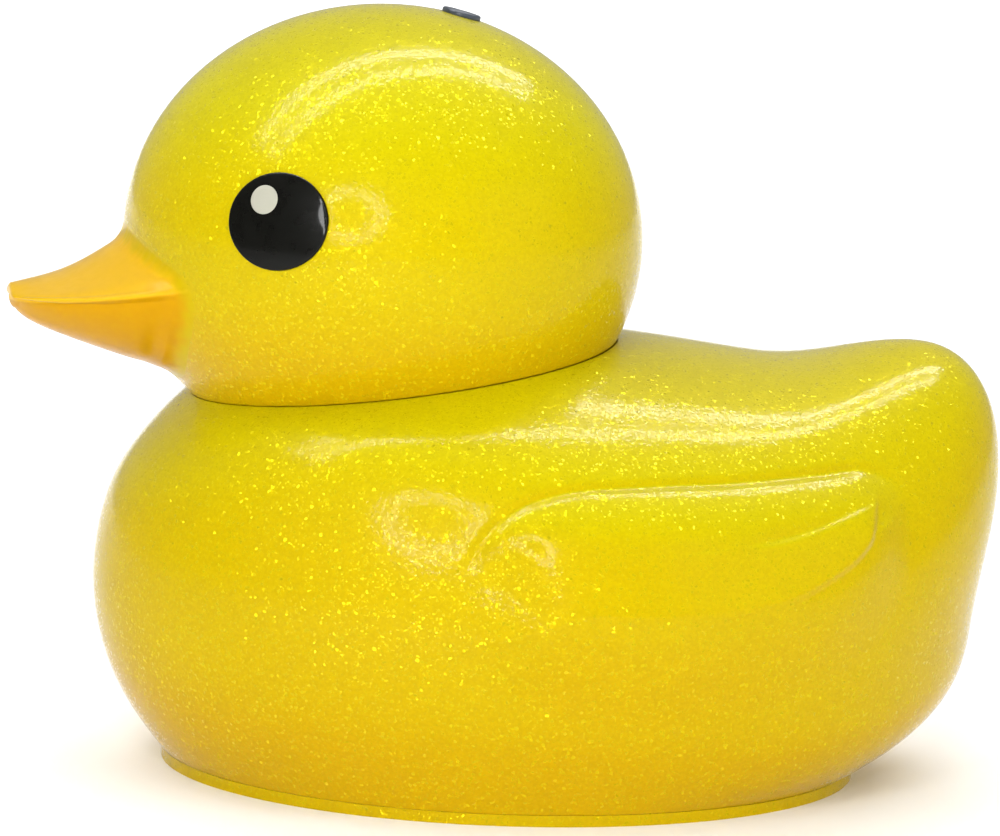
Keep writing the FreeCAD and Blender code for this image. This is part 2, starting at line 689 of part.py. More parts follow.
def make_base_plate():
    """The oval bottom: a foot, a plate with the lock ring's hole, and a spigot for the body shell."""
    rim = keel_oval("keel_rim_blank", "0", "0", "keel_rim")
    spigot = keel_oval("spigot_blank", "wall + fit", "keel_rim - 1", "spigot_top")
    blank = fuse_all("base_blank", [rim, spigot])
    tools = fuse_all("base_tools", [
        keel_oval("keel_hollow", "keel_foot", "0 - 1", "keel_recess"),
        keel_oval("spigot_hollow", "2 * wall + fit", "plate_top", "spigot_top + 1"),
        cylinder("lock_ring_hole", "lock_radius + fit", "0", "spigot_top"),
        screw_holes("plate_holes", "0", "spigot_top")])
    return combine("Cut", "base_plate", blank, tools)


def make_well():
    """The closed cup that keeps the float's air apart from the basket, with its gasket below."""
    gasket = combine("Cut", "well_gasket",
                     ring("gasket_blank", "well_bore", "flange_radius", "plate_top", GASKET_TOP),
                     screw_holes("gasket_holes", "plate_top - 1", f"{GASKET_TOP} + 1"))
    outside = "well_bore + well_wall"
    blank = turned("well_blank", [
        ("well_bore", GASKET_TOP), ("flange_radius", GASKET_TOP), ("flange_radius", FLANGE_TOP),
        (outside, FLANGE_TOP), (outside, "well_ceiling + well_wall"), ("0", "well_ceiling + well_wall"),
        ("0", "well_ceiling"), ("well_bore", "well_ceiling")])
    well = combine("Cut", "tablet_well", blank,
                   screw_holes("flange_holes", f"{GASKET_TOP} - 1", f"{FLANGE_TOP} + 1"))
    return well, gasket


def make_ballast():
    """The steel ring over the well's flange, and the screws that pull it down from below."""
    blank = ring("ballast_blank", "ballast_bore", "flange_radius", FLANGE_TOP, BALLAST_TOP)
    ballast = combine("Cut", "ballast_ring", blank,
                      screw_holes("ballast_holes", f"{FLANGE_TOP} - 1", f"{SCREW_TIP} + 0.5"))
    screws = []
    for k, angle in enumerate(screw_places()):
        head = round_the_keel(f"screw_head_{k}", angle, "screw_head_radius",
                              "keel_recess - screw_head_high", "keel_recess")
        shank = round_the_keel(f"screw_shank_{k}", angle, "screw_radius", "keel_recess - 0.5", SCREW_TIP)
        socket = round_the_keel(f"screw_socket_{k}", angle, "screw_radius",
                                "keel_recess - screw_head_high - 1", "keel_recess - screw_head_high / 2")
        whole = fuse_all(f"screw_whole_{k}", [head, shank])
        screws.append(combine("Cut", f"screw_{k}", whole, socket))
    return ballast, group("ballast_screws", screws)


# ---------------------------------------------------------------- basket and its twist lock

def helical_block(name, inner, outer, low, high, start, sweep):
    """A block that climbs round the keel's axis with the twist lock's pitch.

    low and high are its lower and upper edge at the angle start; the numbers are millimetres and degrees.
    """
    pitch = dim("unlock_drop") * 360 / dim("unlock_turn")
    path = Part.makeHelix(pitch, pitch * sweep / 360, (inner + outer) / 2)
    corners = [Vector(inner, 0, 0), Vector(outer, 0, 0), Vector(outer, 0, high - low),
               Vector(inner, 0, high - low), Vector(inner, 0, 0)]
    section = Part.makePolygon(corners)
    block = Part.Wire(path).makePipeShell([section], True, True)
    result = feature(name, block)
    result.Placement = FreeCAD.Placement(Vector(dim("keel_x"), 0, low), FreeCAD.Rotation(UP, start))
    return result


def make_lock_ring():
    """The ring in the base plate, with a ramp and an end stop for each lug."""
    bore, outside, lip = "lock_bore", "lock_radius", "lock_lip_radius"
    blank = turned("lock_ring_blank", [
        (bore, "lock_lip_low"), (lip, "lock_lip_low"), (lip, "keel_recess"), (outside, "keel_recess"),
        (outside, "lock_top"), (bore, "lock_top")])
    climb = dim("unlock_drop") / dim("unlock_turn")
    first = dim("lug_sweep") - dim("ramp_sweep")
    top = dim("lug_low") - dim("ramp_gap") + climb * first
    parts = [blank]
    for k in range(LUGS):
        turn = 360 / LUGS * k
        parts.append(helical_block(f"ramp_{k}", dim("ramp_bore"), dim("lock_bore") + 0.5,
                                   top - dim("ramp_high"), top, turn + first, dim("ramp_sweep")))
        parts.append(sector(f"lug_stop_{k}", "ramp_bore", "lock_bore + 0.5", "lug_low - 1", "lock_top",
                            turn + dim("lug_sweep") + 1, 5))
    return fuse_all("lock_ring", parts)


def port_sectors(name, low, high):
    """The dosing ports as one tool, clear of the dial's grip at rest."""
    sweep = dim("port_sweep")
    return fuse_all(name, [sector(f"{name}_{k}", "port_inner", "port_outer", low, high,
                                  360 / PORTS * (k + 0.5) - sweep / 2, sweep) for k in range(PORTS)])


FLOOR_TOP = "basket_floor + floor_thick"
GROOVE_LOW = "basket_foot + foot_flange_thick"
GROOVE_HIGH = "basket_foot + foot_flange_thick + 2 * ( seal_section + seal_gap )"


def make_basket():
    """The tablet basket: a ported floor, a skirt round the dial, an O-ring groove and three lugs."""
    outside = "basket_bore + basket_wall"
    pivot = "pivot_radius + screw_play"
    blank = turned("basket_blank", [
        ("basket_bore", "basket_foot"), ("foot_flange", "basket_foot"), ("foot_flange", GROOVE_LOW),
        (outside, GROOVE_LOW), (outside, GROOVE_HIGH), ("foot_flange", GROOVE_HIGH),
        ("foot_flange", f"{GROOVE_HIGH} + foot_flange_thick"),
        (outside, f"{GROOVE_HIGH} + foot_flange_thick"), (outside, "basket_top"),
        ("basket_bore", "basket_top"), ("basket_bore", FLOOR_TOP), (pivot, FLOOR_TOP),
        (pivot, "basket_floor"), ("basket_bore", "basket_floor")])
    ported = combine("Cut", "basket_ported", blank,
                     port_sectors("floor_ports", "basket_floor - 1", f"{FLOOR_TOP} + 1"))
    root = dim("basket_bore") + dim("basket_wall") / 2
    lugs = [helical_block(f"lug_{k}", root, dim("lug_reach"), dim("lug_low"),
                          dim("lug_low") + dim("lug_high"), 360 / LUGS * k, dim("lug_sweep"))
            for k in range(LUGS)]
    return fuse_all("tablet_basket", [ported] + lugs)


def make_seal():
    """The O-ring in the basket's groove."""
    seal = doc.addObject("Part::Torus", "basket_o_ring")
    seal.Label = "basket_o_ring"
    bind(seal, Radius1="basket_bore + basket_wall + seal_gap + seal_section", Radius2="seal_section",
         Placement__Base__z=f"{GROOVE_LOW} + seal_gap + seal_section")
    return at_keel(seal)


# ---------------------------------------------------------------- dosing dial

def make_dial():
    """The ported dial under the basket's floor, with a grip bar across it."""
    recess = "pivot_head + 0.3"
    bore = "pivot_radius + pivot_play"
    blank = turned("dial_blank", [
        (bore, "grip_low + pivot_recess"), (recess, "grip_low + pivot_recess"), (recess, "grip_low"),
        ("hub_radius", "grip_low"), ("hub_radius", "dial_low"), ("dial_radius", "dial_low"),
        ("dial_radius", "dial_high"), (bore, "dial_high")])
    ported = combine("Cut", "dial_ported", blank, port_sectors("dial_ports", "dial_low - 1", "dial_high + 1"))
    bar = doc.addObject("Part::Box", "grip_bar")
    bind(bar, Length="grip_length", Width="grip_width", Height="dial_low - grip_low + 0.5",
         Placement__Base__x="keel_x - grip_length / 2", Placement__Base__y="0 - grip_width / 2",
         Placement__Base__z="grip_low")
    middle = cylinder("grip_middle", "hub_radius - 0.5", "grip_low - 1", "dial_high")
    return fuse_all("dose_dial", [ported, combine("Cut", "grip", bar, middle)])


def make_pivot():
    """The screw, washer and nut that hold the dial to the basket."""
    nut_low = f"{FLOOR_TOP} + washer_thick"
    nut_top = f"{FLOOR_TOP} + washer_thick + nut_high"
    head_top = "grip_low + pivot_recess - pivot_play"
    head = cylinder("pivot_head_blank", "pivot_head", "grip_low + 0.4", head_top)
    shank = cylinder("pivot_shank", "pivot_radius", f"{head_top} - 0.5", f"{nut_top} + 0.8")
    slot = doc.addObject("Part::Box", "pivot_slot")
    bind(slot, Length="2 * pivot_head + 2", Width="1.2", Height="1.2",
         Placement__Base__x="keel_x - pivot_head - 1", Placement__Base__y="0 - 0.6",
         Placement__Base__z="grip_low")
    screw = combine("Cut", "dial_screw", fuse_all("pivot_whole", [head, shank]), slot)
    washer = ring("dial_washer", "pivot_radius + screw_play", "washer_radius", FLOOR_TOP, nut_low)
    hexagon = doc.addObject("Part::Prism", "nut_blank")
    hexagon.Polygon = 6
    bind(hexagon, Circumradius="nut_half_flats / cos( 30 deg )", Height="nut_high",
         Placement__Base__z=nut_low)
    at_keel(hexagon)
    bore = cylinder("nut_bore", "pivot_radius + peg_play", f"{nut_low} - 1", f"{nut_top} + 1")
    return screw, washer, combine("Cut", "dial_nut", hexagon, bore)


# ---------------------------------------------------------------- assembly and export

def build():
    """Make every sub-part."""
    pieces = [make_body_shell(), make_neck_ring(), make_head_shell(), make_beak()]
    for side_name, side in (("left", -1), ("right", 1)):
        pieces += make_eye(side_name, side)
    pieces += make_push_nuts()
    pieces += make_vent()
    pieces.append(make_base_plate())
    pieces += make_well()
    pieces += make_ballast()
    pieces += [make_lock_ring(), make_basket(), make_seal(), make_dial()]
    pieces += make_pivot()
    return pieces


pieces = build()
doc.recompute()

for item in doc.Objects:
    if "Invalid" in item.State or "Error" in item.State:
        raise RuntimeError(f"{item.Name} is {item.State}")
os.makedirs("parts", exist_ok=True)
for piece in pieces:
    if piece.Shape.isNull() or not piece.Shape.isValid() or not piece.Shape.Solids:
        raise RuntimeError(f"{piece.Label} has no valid solid")
    piece.Shape.exportStep(f"parts/{piece.Label}.step")
    box = piece.Shape.BoundBox
    print(f"{piece.Label}: {len(piece.Shape.Solids)} solid(s), {piece.Shape.Volume / 1000:.2f} cm3, "
          f"x {box.XMin:.1f} to {box.XMax:.1f}, y {box.YMin:.1f} to {box.YMax:.1f}, "
          f"z {box.ZMin:.1f} to {box.ZMax:.1f}")
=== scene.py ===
import json
import math

import bmesh
import bpy
import numpy as np
from mathutils import Matrix, Vector


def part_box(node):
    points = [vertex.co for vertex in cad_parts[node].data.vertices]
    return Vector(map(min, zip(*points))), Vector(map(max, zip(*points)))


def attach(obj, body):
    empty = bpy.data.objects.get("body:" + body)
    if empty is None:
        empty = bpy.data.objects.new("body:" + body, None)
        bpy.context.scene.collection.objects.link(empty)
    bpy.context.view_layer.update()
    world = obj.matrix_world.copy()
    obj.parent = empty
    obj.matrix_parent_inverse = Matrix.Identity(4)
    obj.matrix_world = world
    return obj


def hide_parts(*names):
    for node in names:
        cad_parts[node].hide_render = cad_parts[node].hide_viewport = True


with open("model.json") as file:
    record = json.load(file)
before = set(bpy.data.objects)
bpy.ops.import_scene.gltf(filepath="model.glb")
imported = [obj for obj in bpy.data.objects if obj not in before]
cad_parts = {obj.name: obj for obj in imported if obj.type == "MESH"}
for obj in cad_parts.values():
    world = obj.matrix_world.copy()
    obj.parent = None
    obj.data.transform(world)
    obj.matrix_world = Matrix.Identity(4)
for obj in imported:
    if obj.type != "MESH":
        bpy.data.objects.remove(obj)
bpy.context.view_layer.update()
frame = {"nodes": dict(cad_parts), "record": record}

# Looks of a floating chlorine dispenser in the shape of a duck. It faces -X and its left flank is at -Y.
# Lengths are in metres; the duck's own profiles are in millimetres and turned into metres by MM.
MM = 0.001

# ---------------------------------------------------------------- places taken from the frame

head_low, head_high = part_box("head_shell")
plate_low, plate_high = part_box("base_plate")
KEEL_X = (plate_low.x + plate_high.x) / 2 / MM
KEEL_HALF_LONG = (plate_high.x - plate_low.x) / 2 / MM
KEEL_HALF_WIDE = (plate_high.y - plate_low.y) / 2 / MM
KEEL_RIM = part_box("body_shell")[0].z / MM
HEAD_LONG = (head_high.x - head_low.x) / 2 / MM
HEAD_WIDE = (head_high.y - head_low.y) / 2 / MM
HEAD_TALL = 53.2
HEAD_CENTRE = np.array([(head_low.x + head_high.x) / 2 / MM, 0, head_high.z / MM - HEAD_TALL])
HEAD_HALVES = np.array([HEAD_LONG, HEAD_WIDE, HEAD_TALL])
WALL = 2.5

SEAM_SLOPE = math.tan(math.radians(9.0))
SEAM_X = KEEL_X - 29.0
SEAM_Z = 93.0


def seam_height(x):
    """Height of the neck seam's plane over a place along the duck."""
    return SEAM_Z + SEAM_SLOPE * (x - SEAM_X)


# ---------------------------------------------------------------- mesh building

def smooth_step(low, high, value):
    """0 below low, 1 above high, and an S-curve between them."""
    part = np.clip((value - low) / (high - low), 0, 1)
    return part * part * (3 - 2 * part)


def unit(vectors):
    """Vectors scaled to length 1."""
    return vectors / np.maximum(np.linalg.norm(vectors, axis=-1, keepdims=True), 1e-12)


def skin(name, rings, first_pole=None, last_pole=None, looped=False):
    """A closed mesh over rings of points, in millimetres.

    Each end closes on a pole point, or the last ring joins the first when looped.
    """
    rings = np.asarray(rings, float)
    count, around = rings.shape[:2]
    points = [rings.reshape(-1, 3)]
    faces = []
    rows = count if looped else count - 1
    for row in range(rows):
        start = row * around
        after = (row + 1) % count * around
        for k in range(around):
            step = (k + 1) % around
            faces.append((start + k, start + step, after + step, after + k))
    for pole, row in ((first_pole, 0), (last_pole, count - 1)):
        if pole is not None:
            index = sum(len(part) for part in points)
            points.append(np.asarray(pole, float).reshape(1, 3))
            faces += [(index, row * around + k, row * around + (k + 1) % around) for k in range(around)]
    mesh = bpy.data.meshes.new(name)
    mesh.from_pydata((np.concatenate(points) * MM).tolist(), [], faces)
    work = bmesh.new()
    work.from_mesh(mesh)
    bmesh.ops.recalc_face_normals(work, faces=work.faces)
    work.to_mesh(mesh)
    work.free()
    mesh.shade_smooth()
    thing = bpy.data.objects.new(name, mesh)
    bpy.context.scene.collection.objects.link(thing)
    return thing


def grid_normals(grid, centre):
    """Outward unit normals of a grid of points that is closed in its second direction."""
    around = np.roll(grid, -1, 1) - np.roll(grid, 1, 1)
    along = np.gradient(grid, axis=0)
    normals = unit(np.cross(around, along))
    outward = np.sign(np.sum(normals * (grid - centre), axis=-1, keepdims=True))
    return normals * np.where(outward == 0, 1, outward)


def place(thing, body, node, material):
    """Let a piece ride on a body in place of a CAD node."""
    thing.data.materials.append(material)
    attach(thing, body)
    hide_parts(node)


# ---------------------------------------------------------------- free-form surfaces

AROUND = 16
# A cubic curve through a ring of evenly turned poles runs inside them by this factor.
PULL_IN = (2 + math.cos(2 * math.pi / AROUND)) / 3


def closed_weights(count, places):
    """Cubic weights of poles round a closed ring, at places counted in poles."""
    weights = np.zeros((len(places), count))
    for row, at in enumerate(places):
        whole = int(math.floor(at))
        part = at - whole
        cubic = ((1 - part) ** 3 / 6, (3 * part ** 3 - 6 * part ** 2 + 4) / 6,
                 (-3 * part ** 3 + 3 * part ** 2 + 3 * part + 1) / 6, part ** 3 / 6)
        for k, weight in enumerate(cubic):
            weights[row, (whole - 1 + k) % count] += weight
    return weights


def open_weights(count, places):
    """Cubic weights of poles along an open run, at places from 0 to 1, by the Cox-de Boor rule."""
    knots = np.concatenate([np.zeros(3), np.linspace(0, 1, count - 2), np.ones(3)])
    places = np.clip(np.asarray(places, float), 0, 1 - 1e-12)
    weights = np.array([(places >= knots[k]) & (places < knots[k + 1])
                        for k in range(len(knots) - 1)], float).T
    for degree in (1, 2, 3):
        raised = np.zeros((len(places), len(knots) - 1 - degree))
        for k in range(raised.shape[1]):
            rise = knots[k + degree] - knots[k]
            fall = knots[k + degree + 1] - knots[k + 1]
            if rise > 0:
                raised[:, k] += (places - knots[k]) / rise * weights[:, k]
            if fall > 0:
                raised[:, k] += (knots[k + degree + 1] - places) / fall * weights[:, k + 1]
        weights = raised
    return weights


def tube_grid(rings, along, around):
    """Points of a cubic surface over rings of poles: along is places from 0 to 1, around a count."""
    poles = np.asarray(rings, float)
    turns = np.linspace(0, poles.shape[1], around, endpoint=False)
    return np.einsum("vr,uk,rkc->vuc", open_weights(len(poles), along),
                     closed_weights(poles.shape[1], turns), poles)


def body_ring(front, flank, tail, taper, rise):
    """Poles round the body through a front point, two flank points and a tail point."""
    angle = 2 * math.pi * np.arange(AROUND) / AROUND
    ahead = np.maximum(np.cos(angle), 0)
    astern = np.maximum(-np.cos(angle), 0)
    x = flank[0] + ((front[0] - flank[0]) * ahead + (tail[0] - flank[0]) * astern) / PULL_IN
    y = flank[1] * np.sin(angle) / PULL_IN * (1 - taper * astern ** 2)
    z = flank[2] + (front[1] - flank[2]) * ahead ** 2 + (tail[1] - flank[2]) * astern ** rise
    return np.stack([x, y, z], axis=-1)


def seam_oval():
    """Where the seam's plane cuts the head: front x, rear x and half width."""
    drop = seam_height(HEAD_CENTRE[0]) - HEAD_CENTRE[2]
    square = 1 / HEAD_LONG ** 2 + (SEAM_SLOPE / HEAD_TALL) ** 2
    linear = 2 * SEAM_SLOPE * drop / HEAD_TALL ** 2
    root = math.sqrt(linear ** 2 - 4 * square * ((drop / HEAD_TALL) ** 2 - 1))
    front = (-linear - root) / (2 * square)
    rear = (-linear + root) / (2 * square)
    middle = (front + rear) / 2
    height = drop + SEAM_SLOPE * middle
    half_width = HEAD_WIDE * math.sqrt(1 - (middle / HEAD_LONG) ** 2 - (height / HEAD_TALL) ** 2)
    return HEAD_CENTRE[0] + front, HEAD_CENTRE[0] + rear, half_width


def seam_ring():
    """Poles round the neck in the seam's plane."""
    front, rear, half_width = seam_oval()
    poles = body_ring((front, 0), ((front + rear) / 2, half_width, 0), (rear, 0), 0, 2)
    poles[:, 2] = seam_height(poles[:, 0])
    return poles


def body_rings():
    """Rings of poles from the neck down to the keel, the same as the design's."""
    rows = [
        # front reach, height, flank x, half width, height, tail reach, height, taper, rise
        (80.5, 82, -23, 60, 87.5, 40, 100, 0.00, 2),
        (87, 75, -9, 69.5, 80, 63, 95, 0.05, 2.5),
        (94, 65, -1, 75, 69, 81, 102, 0.15, 3),
        (97, 53, 1, 77.6, 56, 100, 105, 0.25, 3),
        (98, 41, 2, 79.2, 44, 112, 91, 0.22, 3),
        (96, 29, 2, 79.2, 31, 113, 67, 0.15, 3),
        (92, 18, 2, 77.3, 19, 106.5, 41, 0.08, 3),
        (86, 9, 1, 73, 10, 106, 17, 0.03, 3)]
    rings = [seam_ring()]
    for ahead, front_z, flank_x, half_width, flank_z, astern, tail_z, taper, rise in rows:
        rings.append(body_ring((KEEL_X - ahead, front_z), (KEEL_X + flank_x, half_width, flank_z),
                               (KEEL_X + astern, tail_z), taper, rise))
    rings.append(body_ring((KEEL_X - KEEL_HALF_LONG, KEEL_RIM), (KEEL_X, KEEL_HALF_WIDE, KEEL_RIM),
                           (KEEL_X + KEEL_HALF_LONG, KEEL_RIM), 0, 2))
    return rings


def rim_places(count, edge):
    """Places from 0 to 1, crowded towards both ends so that rounded rims stay smooth."""
    crowded = edge * (np.linspace(0, 1, 9) ** 1.6)
    middle = np.linspace(edge, 1 - edge, count)[1:-1]
    return np.concatenate([crowded, middle, 1 - crowded[::-1]])


# ---------------------------------------------------------------- wings

# The wing's outline in side view, (x, z): crisp above, faded out below.
WING_CORNERS = [(-23, 42), (-21, 54), (-17, 64), (-10, 71.5), (2, 75.5), (20, 76.5), (42, 76.5), (62, 77),
                (75, 77), (86, 70.5), (87, 58), (82, 44), (70, 32), (48, 25), (20, 22), (-6, 26), (-18, 34)]
WING_HIGH = 5.8
FLANK_FROM = 25.0
CREST_REACH = 19.0
BELLY_REACH = 30.0
CREASE_DEEP = 0.45
CREASE_WIDE = 1.1
# The outline is fully crisp above CRISP_Z and soft below SOFT_Z, which is higher at the shoulder.
CRISP_Z = 72
SOFT_Z = 38
SHOULDER_SOFT = 16
UPPER_FEATHER = ((39, 62.5), (47, 63), (57, 64.6), (69, 68))
LOWER_FEATHER = ((48, 50.5), (56, 52.5), (66, 57), (72, 62), (74.5, 68))
FEATHER_START = 12
# Each pair says where something has none of its effect and where it has all of it.
SHOULDER_X = (8, -14)
CRISP_X = (90, 66)
UPPER_FEATHER_X = (78, 73)
LOWER_FEATHER_Z = (74, 66)


def smooth_outline(corners, steps=12, closed=True):
    """A Catmull-Rom curve through corners."""
    corners = np.asarray(corners, float)
    count = len(corners)
    points = []
    for k in range(count if closed else count - 1):
        if closed:
            a, b, c, d = (corners[(k + i) % count] for i in (-1, 0, 1, 2))
        else:
            a, b, c, d = (corners[min(max(k + i, 0), count - 1)] for i in (-1, 0, 1, 2))
        for part in np.linspace(0, 1, steps, endpoint=False):
            points.append(0.5 * (2 * b + (c - a) * part + (2 * a - 5 * b + 4 * c - d) * part ** 2
                                 + (3 * b - a - 3 * c + d) * part ** 3))
    if not closed:
        points.append(corners[-1])
    return np.array(points)


def distance_to(points, line, closed):
    """Distance of each (x, z) point to a run of points."""
    ends = np.roll(line, -1, 0) if closed else line[1:]
    starts = line if closed else line[:-1]
    best = np.full(len(points), 1e9)
    for a, b in zip(starts, ends):
        step = b - a
        part = np.clip((points - a) @ step / max(step @ step, 1e-9), 0, 1)
        best = np.minimum(best, np.linalg.norm(points - a - part[:, None] * step, axis=1))
    return best


def inside(points, outline):
    """Whether each (x, z) point is inside a closed outline, by the even-odd rule."""
    x, z = points.T
    odd = np.zeros(len(points), bool)
    for (xa, za), (xb, zb) in zip(outline, np.roll(outline, -1, 0)):
        crosses = (za > z) != (zb > z)
        odd ^= crosses & (x < (xb - xa) * (z - za) / (zb - za + 1e-12) + xa)
    return odd


def beside_stroke(points, line):
    """Where (x, z) points are beside a stroke that runs rearwards.

    Gives their distance from it, positive above, and how fully it has set in there, from 0 at its start.
    """
    line = smooth_outline(line, closed=False)
    distance = distance_to(points, line, False)
    nearest = np.argmin(np.linalg.norm(points[:, None] - line[None], axis=2), axis=1)
    ahead = line[np.minimum(nearest + 1, len(line) - 1)] - line[np.maximum(nearest - 1, 0)]
    offset = points - line[nearest]
    side = np.sign(ahead[:, 0] * offset[:, 1] - ahead[:, 1] * offset[:, 0])
    set_in = smooth_step(0, FEATHER_START, np.linalg.norm(points - line[0], axis=1))
    return distance * side, set_in


def feather_groove(points, line, side, deep, edge, reach):
    """Depth of a groove along a stroke that levels out above it (side 1) or below it (side -1).

    edge is half the width of its steep edge, and reach is how slowly it levels out.
    """
    away, set_in = beside_stroke(points, line)
    away = away * side
    return deep * np.exp(-np.maximum(away, 0) / reach) * smooth_step(-edge, edge, away) * set_in


def wing_height(grid):
    """How far the body's surface stands out at each point of the grid for the moulded wings."""
    flat = grid[..., [0, 2]].reshape(-1, 2)
    outline = smooth_outline(WING_CORNERS)
    margin = 3 * CREASE_WIDE
    near = np.all((flat > outline.min(axis=0) - margin) & (flat < outline.max(axis=0) + margin), axis=1)
    near &= np.abs(grid[..., 1].reshape(-1)) > FLANK_FROM
    points = flat[near]
    x, z = points.T
    to_edge = distance_to(points, outline, True)
    depth = to_edge * inside(points, outline)
    soft_z = SOFT_Z + SHOULDER_SOFT * smooth_step(*SHOULDER_X, x)
    crisp = smooth_step(soft_z, CRISP_Z, z) * smooth_step(*CRISP_X, x)
    crest = 1 - (1 - np.clip(depth / CREST_REACH, 0, 1)) ** 2
    belly = smooth_step(0, BELLY_REACH, depth)
    shelf = WING_HIGH * (crisp * crest + (1 - crisp) * belly)
    upper = feather_groove(points, UPPER_FEATHER, 1, deep=0.75, edge=0.7, reach=4)
    lower = feather_groove(points, LOWER_FEATHER, -1, deep=1.0, edge=0.9, reach=7)
    shelf -= upper * smooth_step(*UPPER_FEATHER_X, x) + lower * smooth_step(*LOWER_FEATHER_Z, z)
    crease = CREASE_DEEP * crisp * np.exp(-(to_edge / CREASE_WIDE) ** 2)
    height = np.zeros(len(flat))
    height[near] = np.maximum(shelf, 0) - crease
    return height.reshape(grid.shape[:2])


# ---------------------------------------------------------------- the shells

RIM_ROUND = 0.14
RIM_TURN_IN = 0.6 * RIM_ROUND
BODY_ROWS = 230
BODY_AROUND = 560
HEAD_ROWS = 190
HEAD_INNER_ROWS = 48
HEAD_AROUND = 420
# The body's inner wall ends this far short of the seam and of the keel's rim.
SHORT_OF_SEAM = 0.05
SHORT_OF_KEEL = 0.02


def rounded_rim(distance):
    """How far a rim's edge turns in, at a distance from the edge."""
    part = np.clip(1 - distance / RIM_ROUND, 0, 1)
    return RIM_TURN_IN * (1 - np.sqrt(np.maximum(1 - part ** 2, 0)))


def along_lengths(grid):
    """Distance along each column of a grid from its first row."""
    steps = np.linalg.norm(np.diff(grid, axis=0), axis=-1)
    return np.concatenate([np.zeros((1, grid.shape[1])), np.cumsum(steps, axis=0)])


def make_body(material):
    """The body with its wings, rounded rims and an inner wall."""
    grid = tube_grid(body_rings(), rim_places(BODY_ROWS, 0.03), BODY_AROUND)
    normals = grid_normals(grid, np.array([KEEL_X, 0, 50]))
    lengths = along_lengths(grid)
    turn_in = rounded_rim(lengths) + rounded_rim(lengths[-1] - lengths)
    outer = grid + normals * (wing_height(grid) - turn_in)[..., None]
    inner = grid - normals * WALL
    inner[..., 2] = np.minimum(inner[..., 2], seam_height(inner[..., 0]) - SHORT_OF_SEAM)
    inner[..., 2] = np.maximum(inner[..., 2], KEEL_RIM + SHORT_OF_KEEL)
    every_fourth = inner[::-4][:-1]
    body = skin("duck_body", np.concatenate([outer, every_fourth]), looped=True)
    place(body, "float", "body_shell", material)


def head_level(points):
    """How far points are outside the head's ellipsoid, as a share of its size: 0 on it."""
    return np.linalg.norm((points - HEAD_CENTRE) / HEAD_HALVES, axis=-1) - 1


def on_head(directions, grow=0.0):
    """Points of the head's ellipsoid, grown all round, along directions from its centre."""
    halves = HEAD_HALVES + grow
    reach = 1 / np.linalg.norm(directions / halves, axis=-1, keepdims=True)
    return HEAD_CENTRE + directions * reach


def head_normals(points):
    """Outward unit normals of the head's ellipsoid at points on it."""
    return unit((points - HEAD_CENTRE) / HEAD_HALVES ** 2)


VENT_TILT = math.radians(14.0)
VENT_AXIS = np.array([math.sin(VENT_TILT), 0, math.cos(VENT_TILT)])
VENT_POINT = HEAD_CENTRE + HEAD_HALVES ** 2 * VENT_AXIS / math.sqrt(HEAD_HALVES ** 2 @ VENT_AXIS ** 2)
VENT_HOLE = 4.65


def head_points(grow, angles, turns):
    """Points of the grown ellipsoid at angles from the vent and turns around it, on a squashed sphere."""
    halves = HEAD_HALVES + grow
    pole = unit((VENT_POINT - HEAD_CENTRE) / HEAD_HALVES)
    across = unit(np.array([pole[2], 0, -pole[0]]))
    other = np.cross(pole, across)
    flat = np.cos(turns)[..., None] * across + np.sin(turns)[..., None] * other
    return HEAD_CENTRE + halves * (np.sin(angles)[..., None] * flat + np.cos(angles)[..., None] * pole)


def off_vent_axis(points):
    """Distance of points from the vent's axis."""
    return np.linalg.norm(np.cross(points - VENT_POINT, VENT_AXIS), axis=-1)


def edge_angles(grow, turns, passed):
    """Angle from the vent, at each turn, where the test passed(points) starts to hold, by halving."""
    low = np.zeros(len(turns))
    high = np.full(len(turns), 0.9 * math.pi)
    for _ in range(40):
        middle = (low + high) / 2
        beyond = passed(head_points(grow, middle, turns))
        high = np.where(beyond, middle, high)
        low = np.where(beyond, low, middle)
    return high


def head_grid(grow, rows, around):
    """Rings of the head from the vent's hole down to the seam's plane, closer together at both ends."""
    turns = np.linspace(0, 2 * math.pi, around, endpoint=False)
    hole = edge_angles(grow, turns, lambda points: off_vent_axis(points) > VENT_HOLE)
    seam = edge_angles(grow, turns, lambda points: points[..., 2] < seam_height(points[..., 0]))
    shares = rim_places(rows, 0.02)
    angles = hole + shares[:, None] * (seam - hole)
    return head_points(grow, angles, np.broadcast_to(turns, angles.shape))


# ---------------------------------------------------------------- eyes

EYE_AROUND = math.radians(59.3)
EYE_LIFT = math.radians(10.7)
EYE_LONG = 11.8
EYE_TALL = 10.8
EYE_PROUD = 0.8
EYE_SUNK = 1.0
EYE_EDGE = 0.45
# The head is dished under an eye, a little deeper than the eye's back and out to these shares of the oval.
DISH_SPARE = 0.05
DISH_FLAT = 0.88
DISH_END = 0.95
# Points of the head more than this far behind an eye belong to its other side.
FAR_BEHIND = 8
OUT_OF_REACH = 9
GLINT_RADIUS = 3.2
GLINT_FORWARD = 3.4
GLINT_UP = 4.4
GLINT_PROUD = 0.12
GLINT_SUNK = 0.3
GLINT_EDGE = 0.1
UP = np.array([0.0, 0.0, 1.0])
FACING = np.array([-1.0, 0.0, 0.0])


def eye_frame(side):
    """An eye's point on the head, outward axis, forward tangent and upward tangent."""
    axis = np.array([-math.cos(EYE_LIFT) * math.cos(EYE_AROUND),
                     side * math.cos(EYE_LIFT) * math.sin(EYE_AROUND), math.sin(EYE_LIFT)])
    reach = HEAD_HALVES ** 2 * axis
    point = HEAD_CENTRE + reach / math.sqrt(reach @ axis)
    forward = np.cross(UP, axis)
    forward *= -np.sign(forward[0]) / np.linalg.norm(forward)
    upward = np.cross(axis, forward)
    return point, axis, forward, upward * np.sign(upward[2])


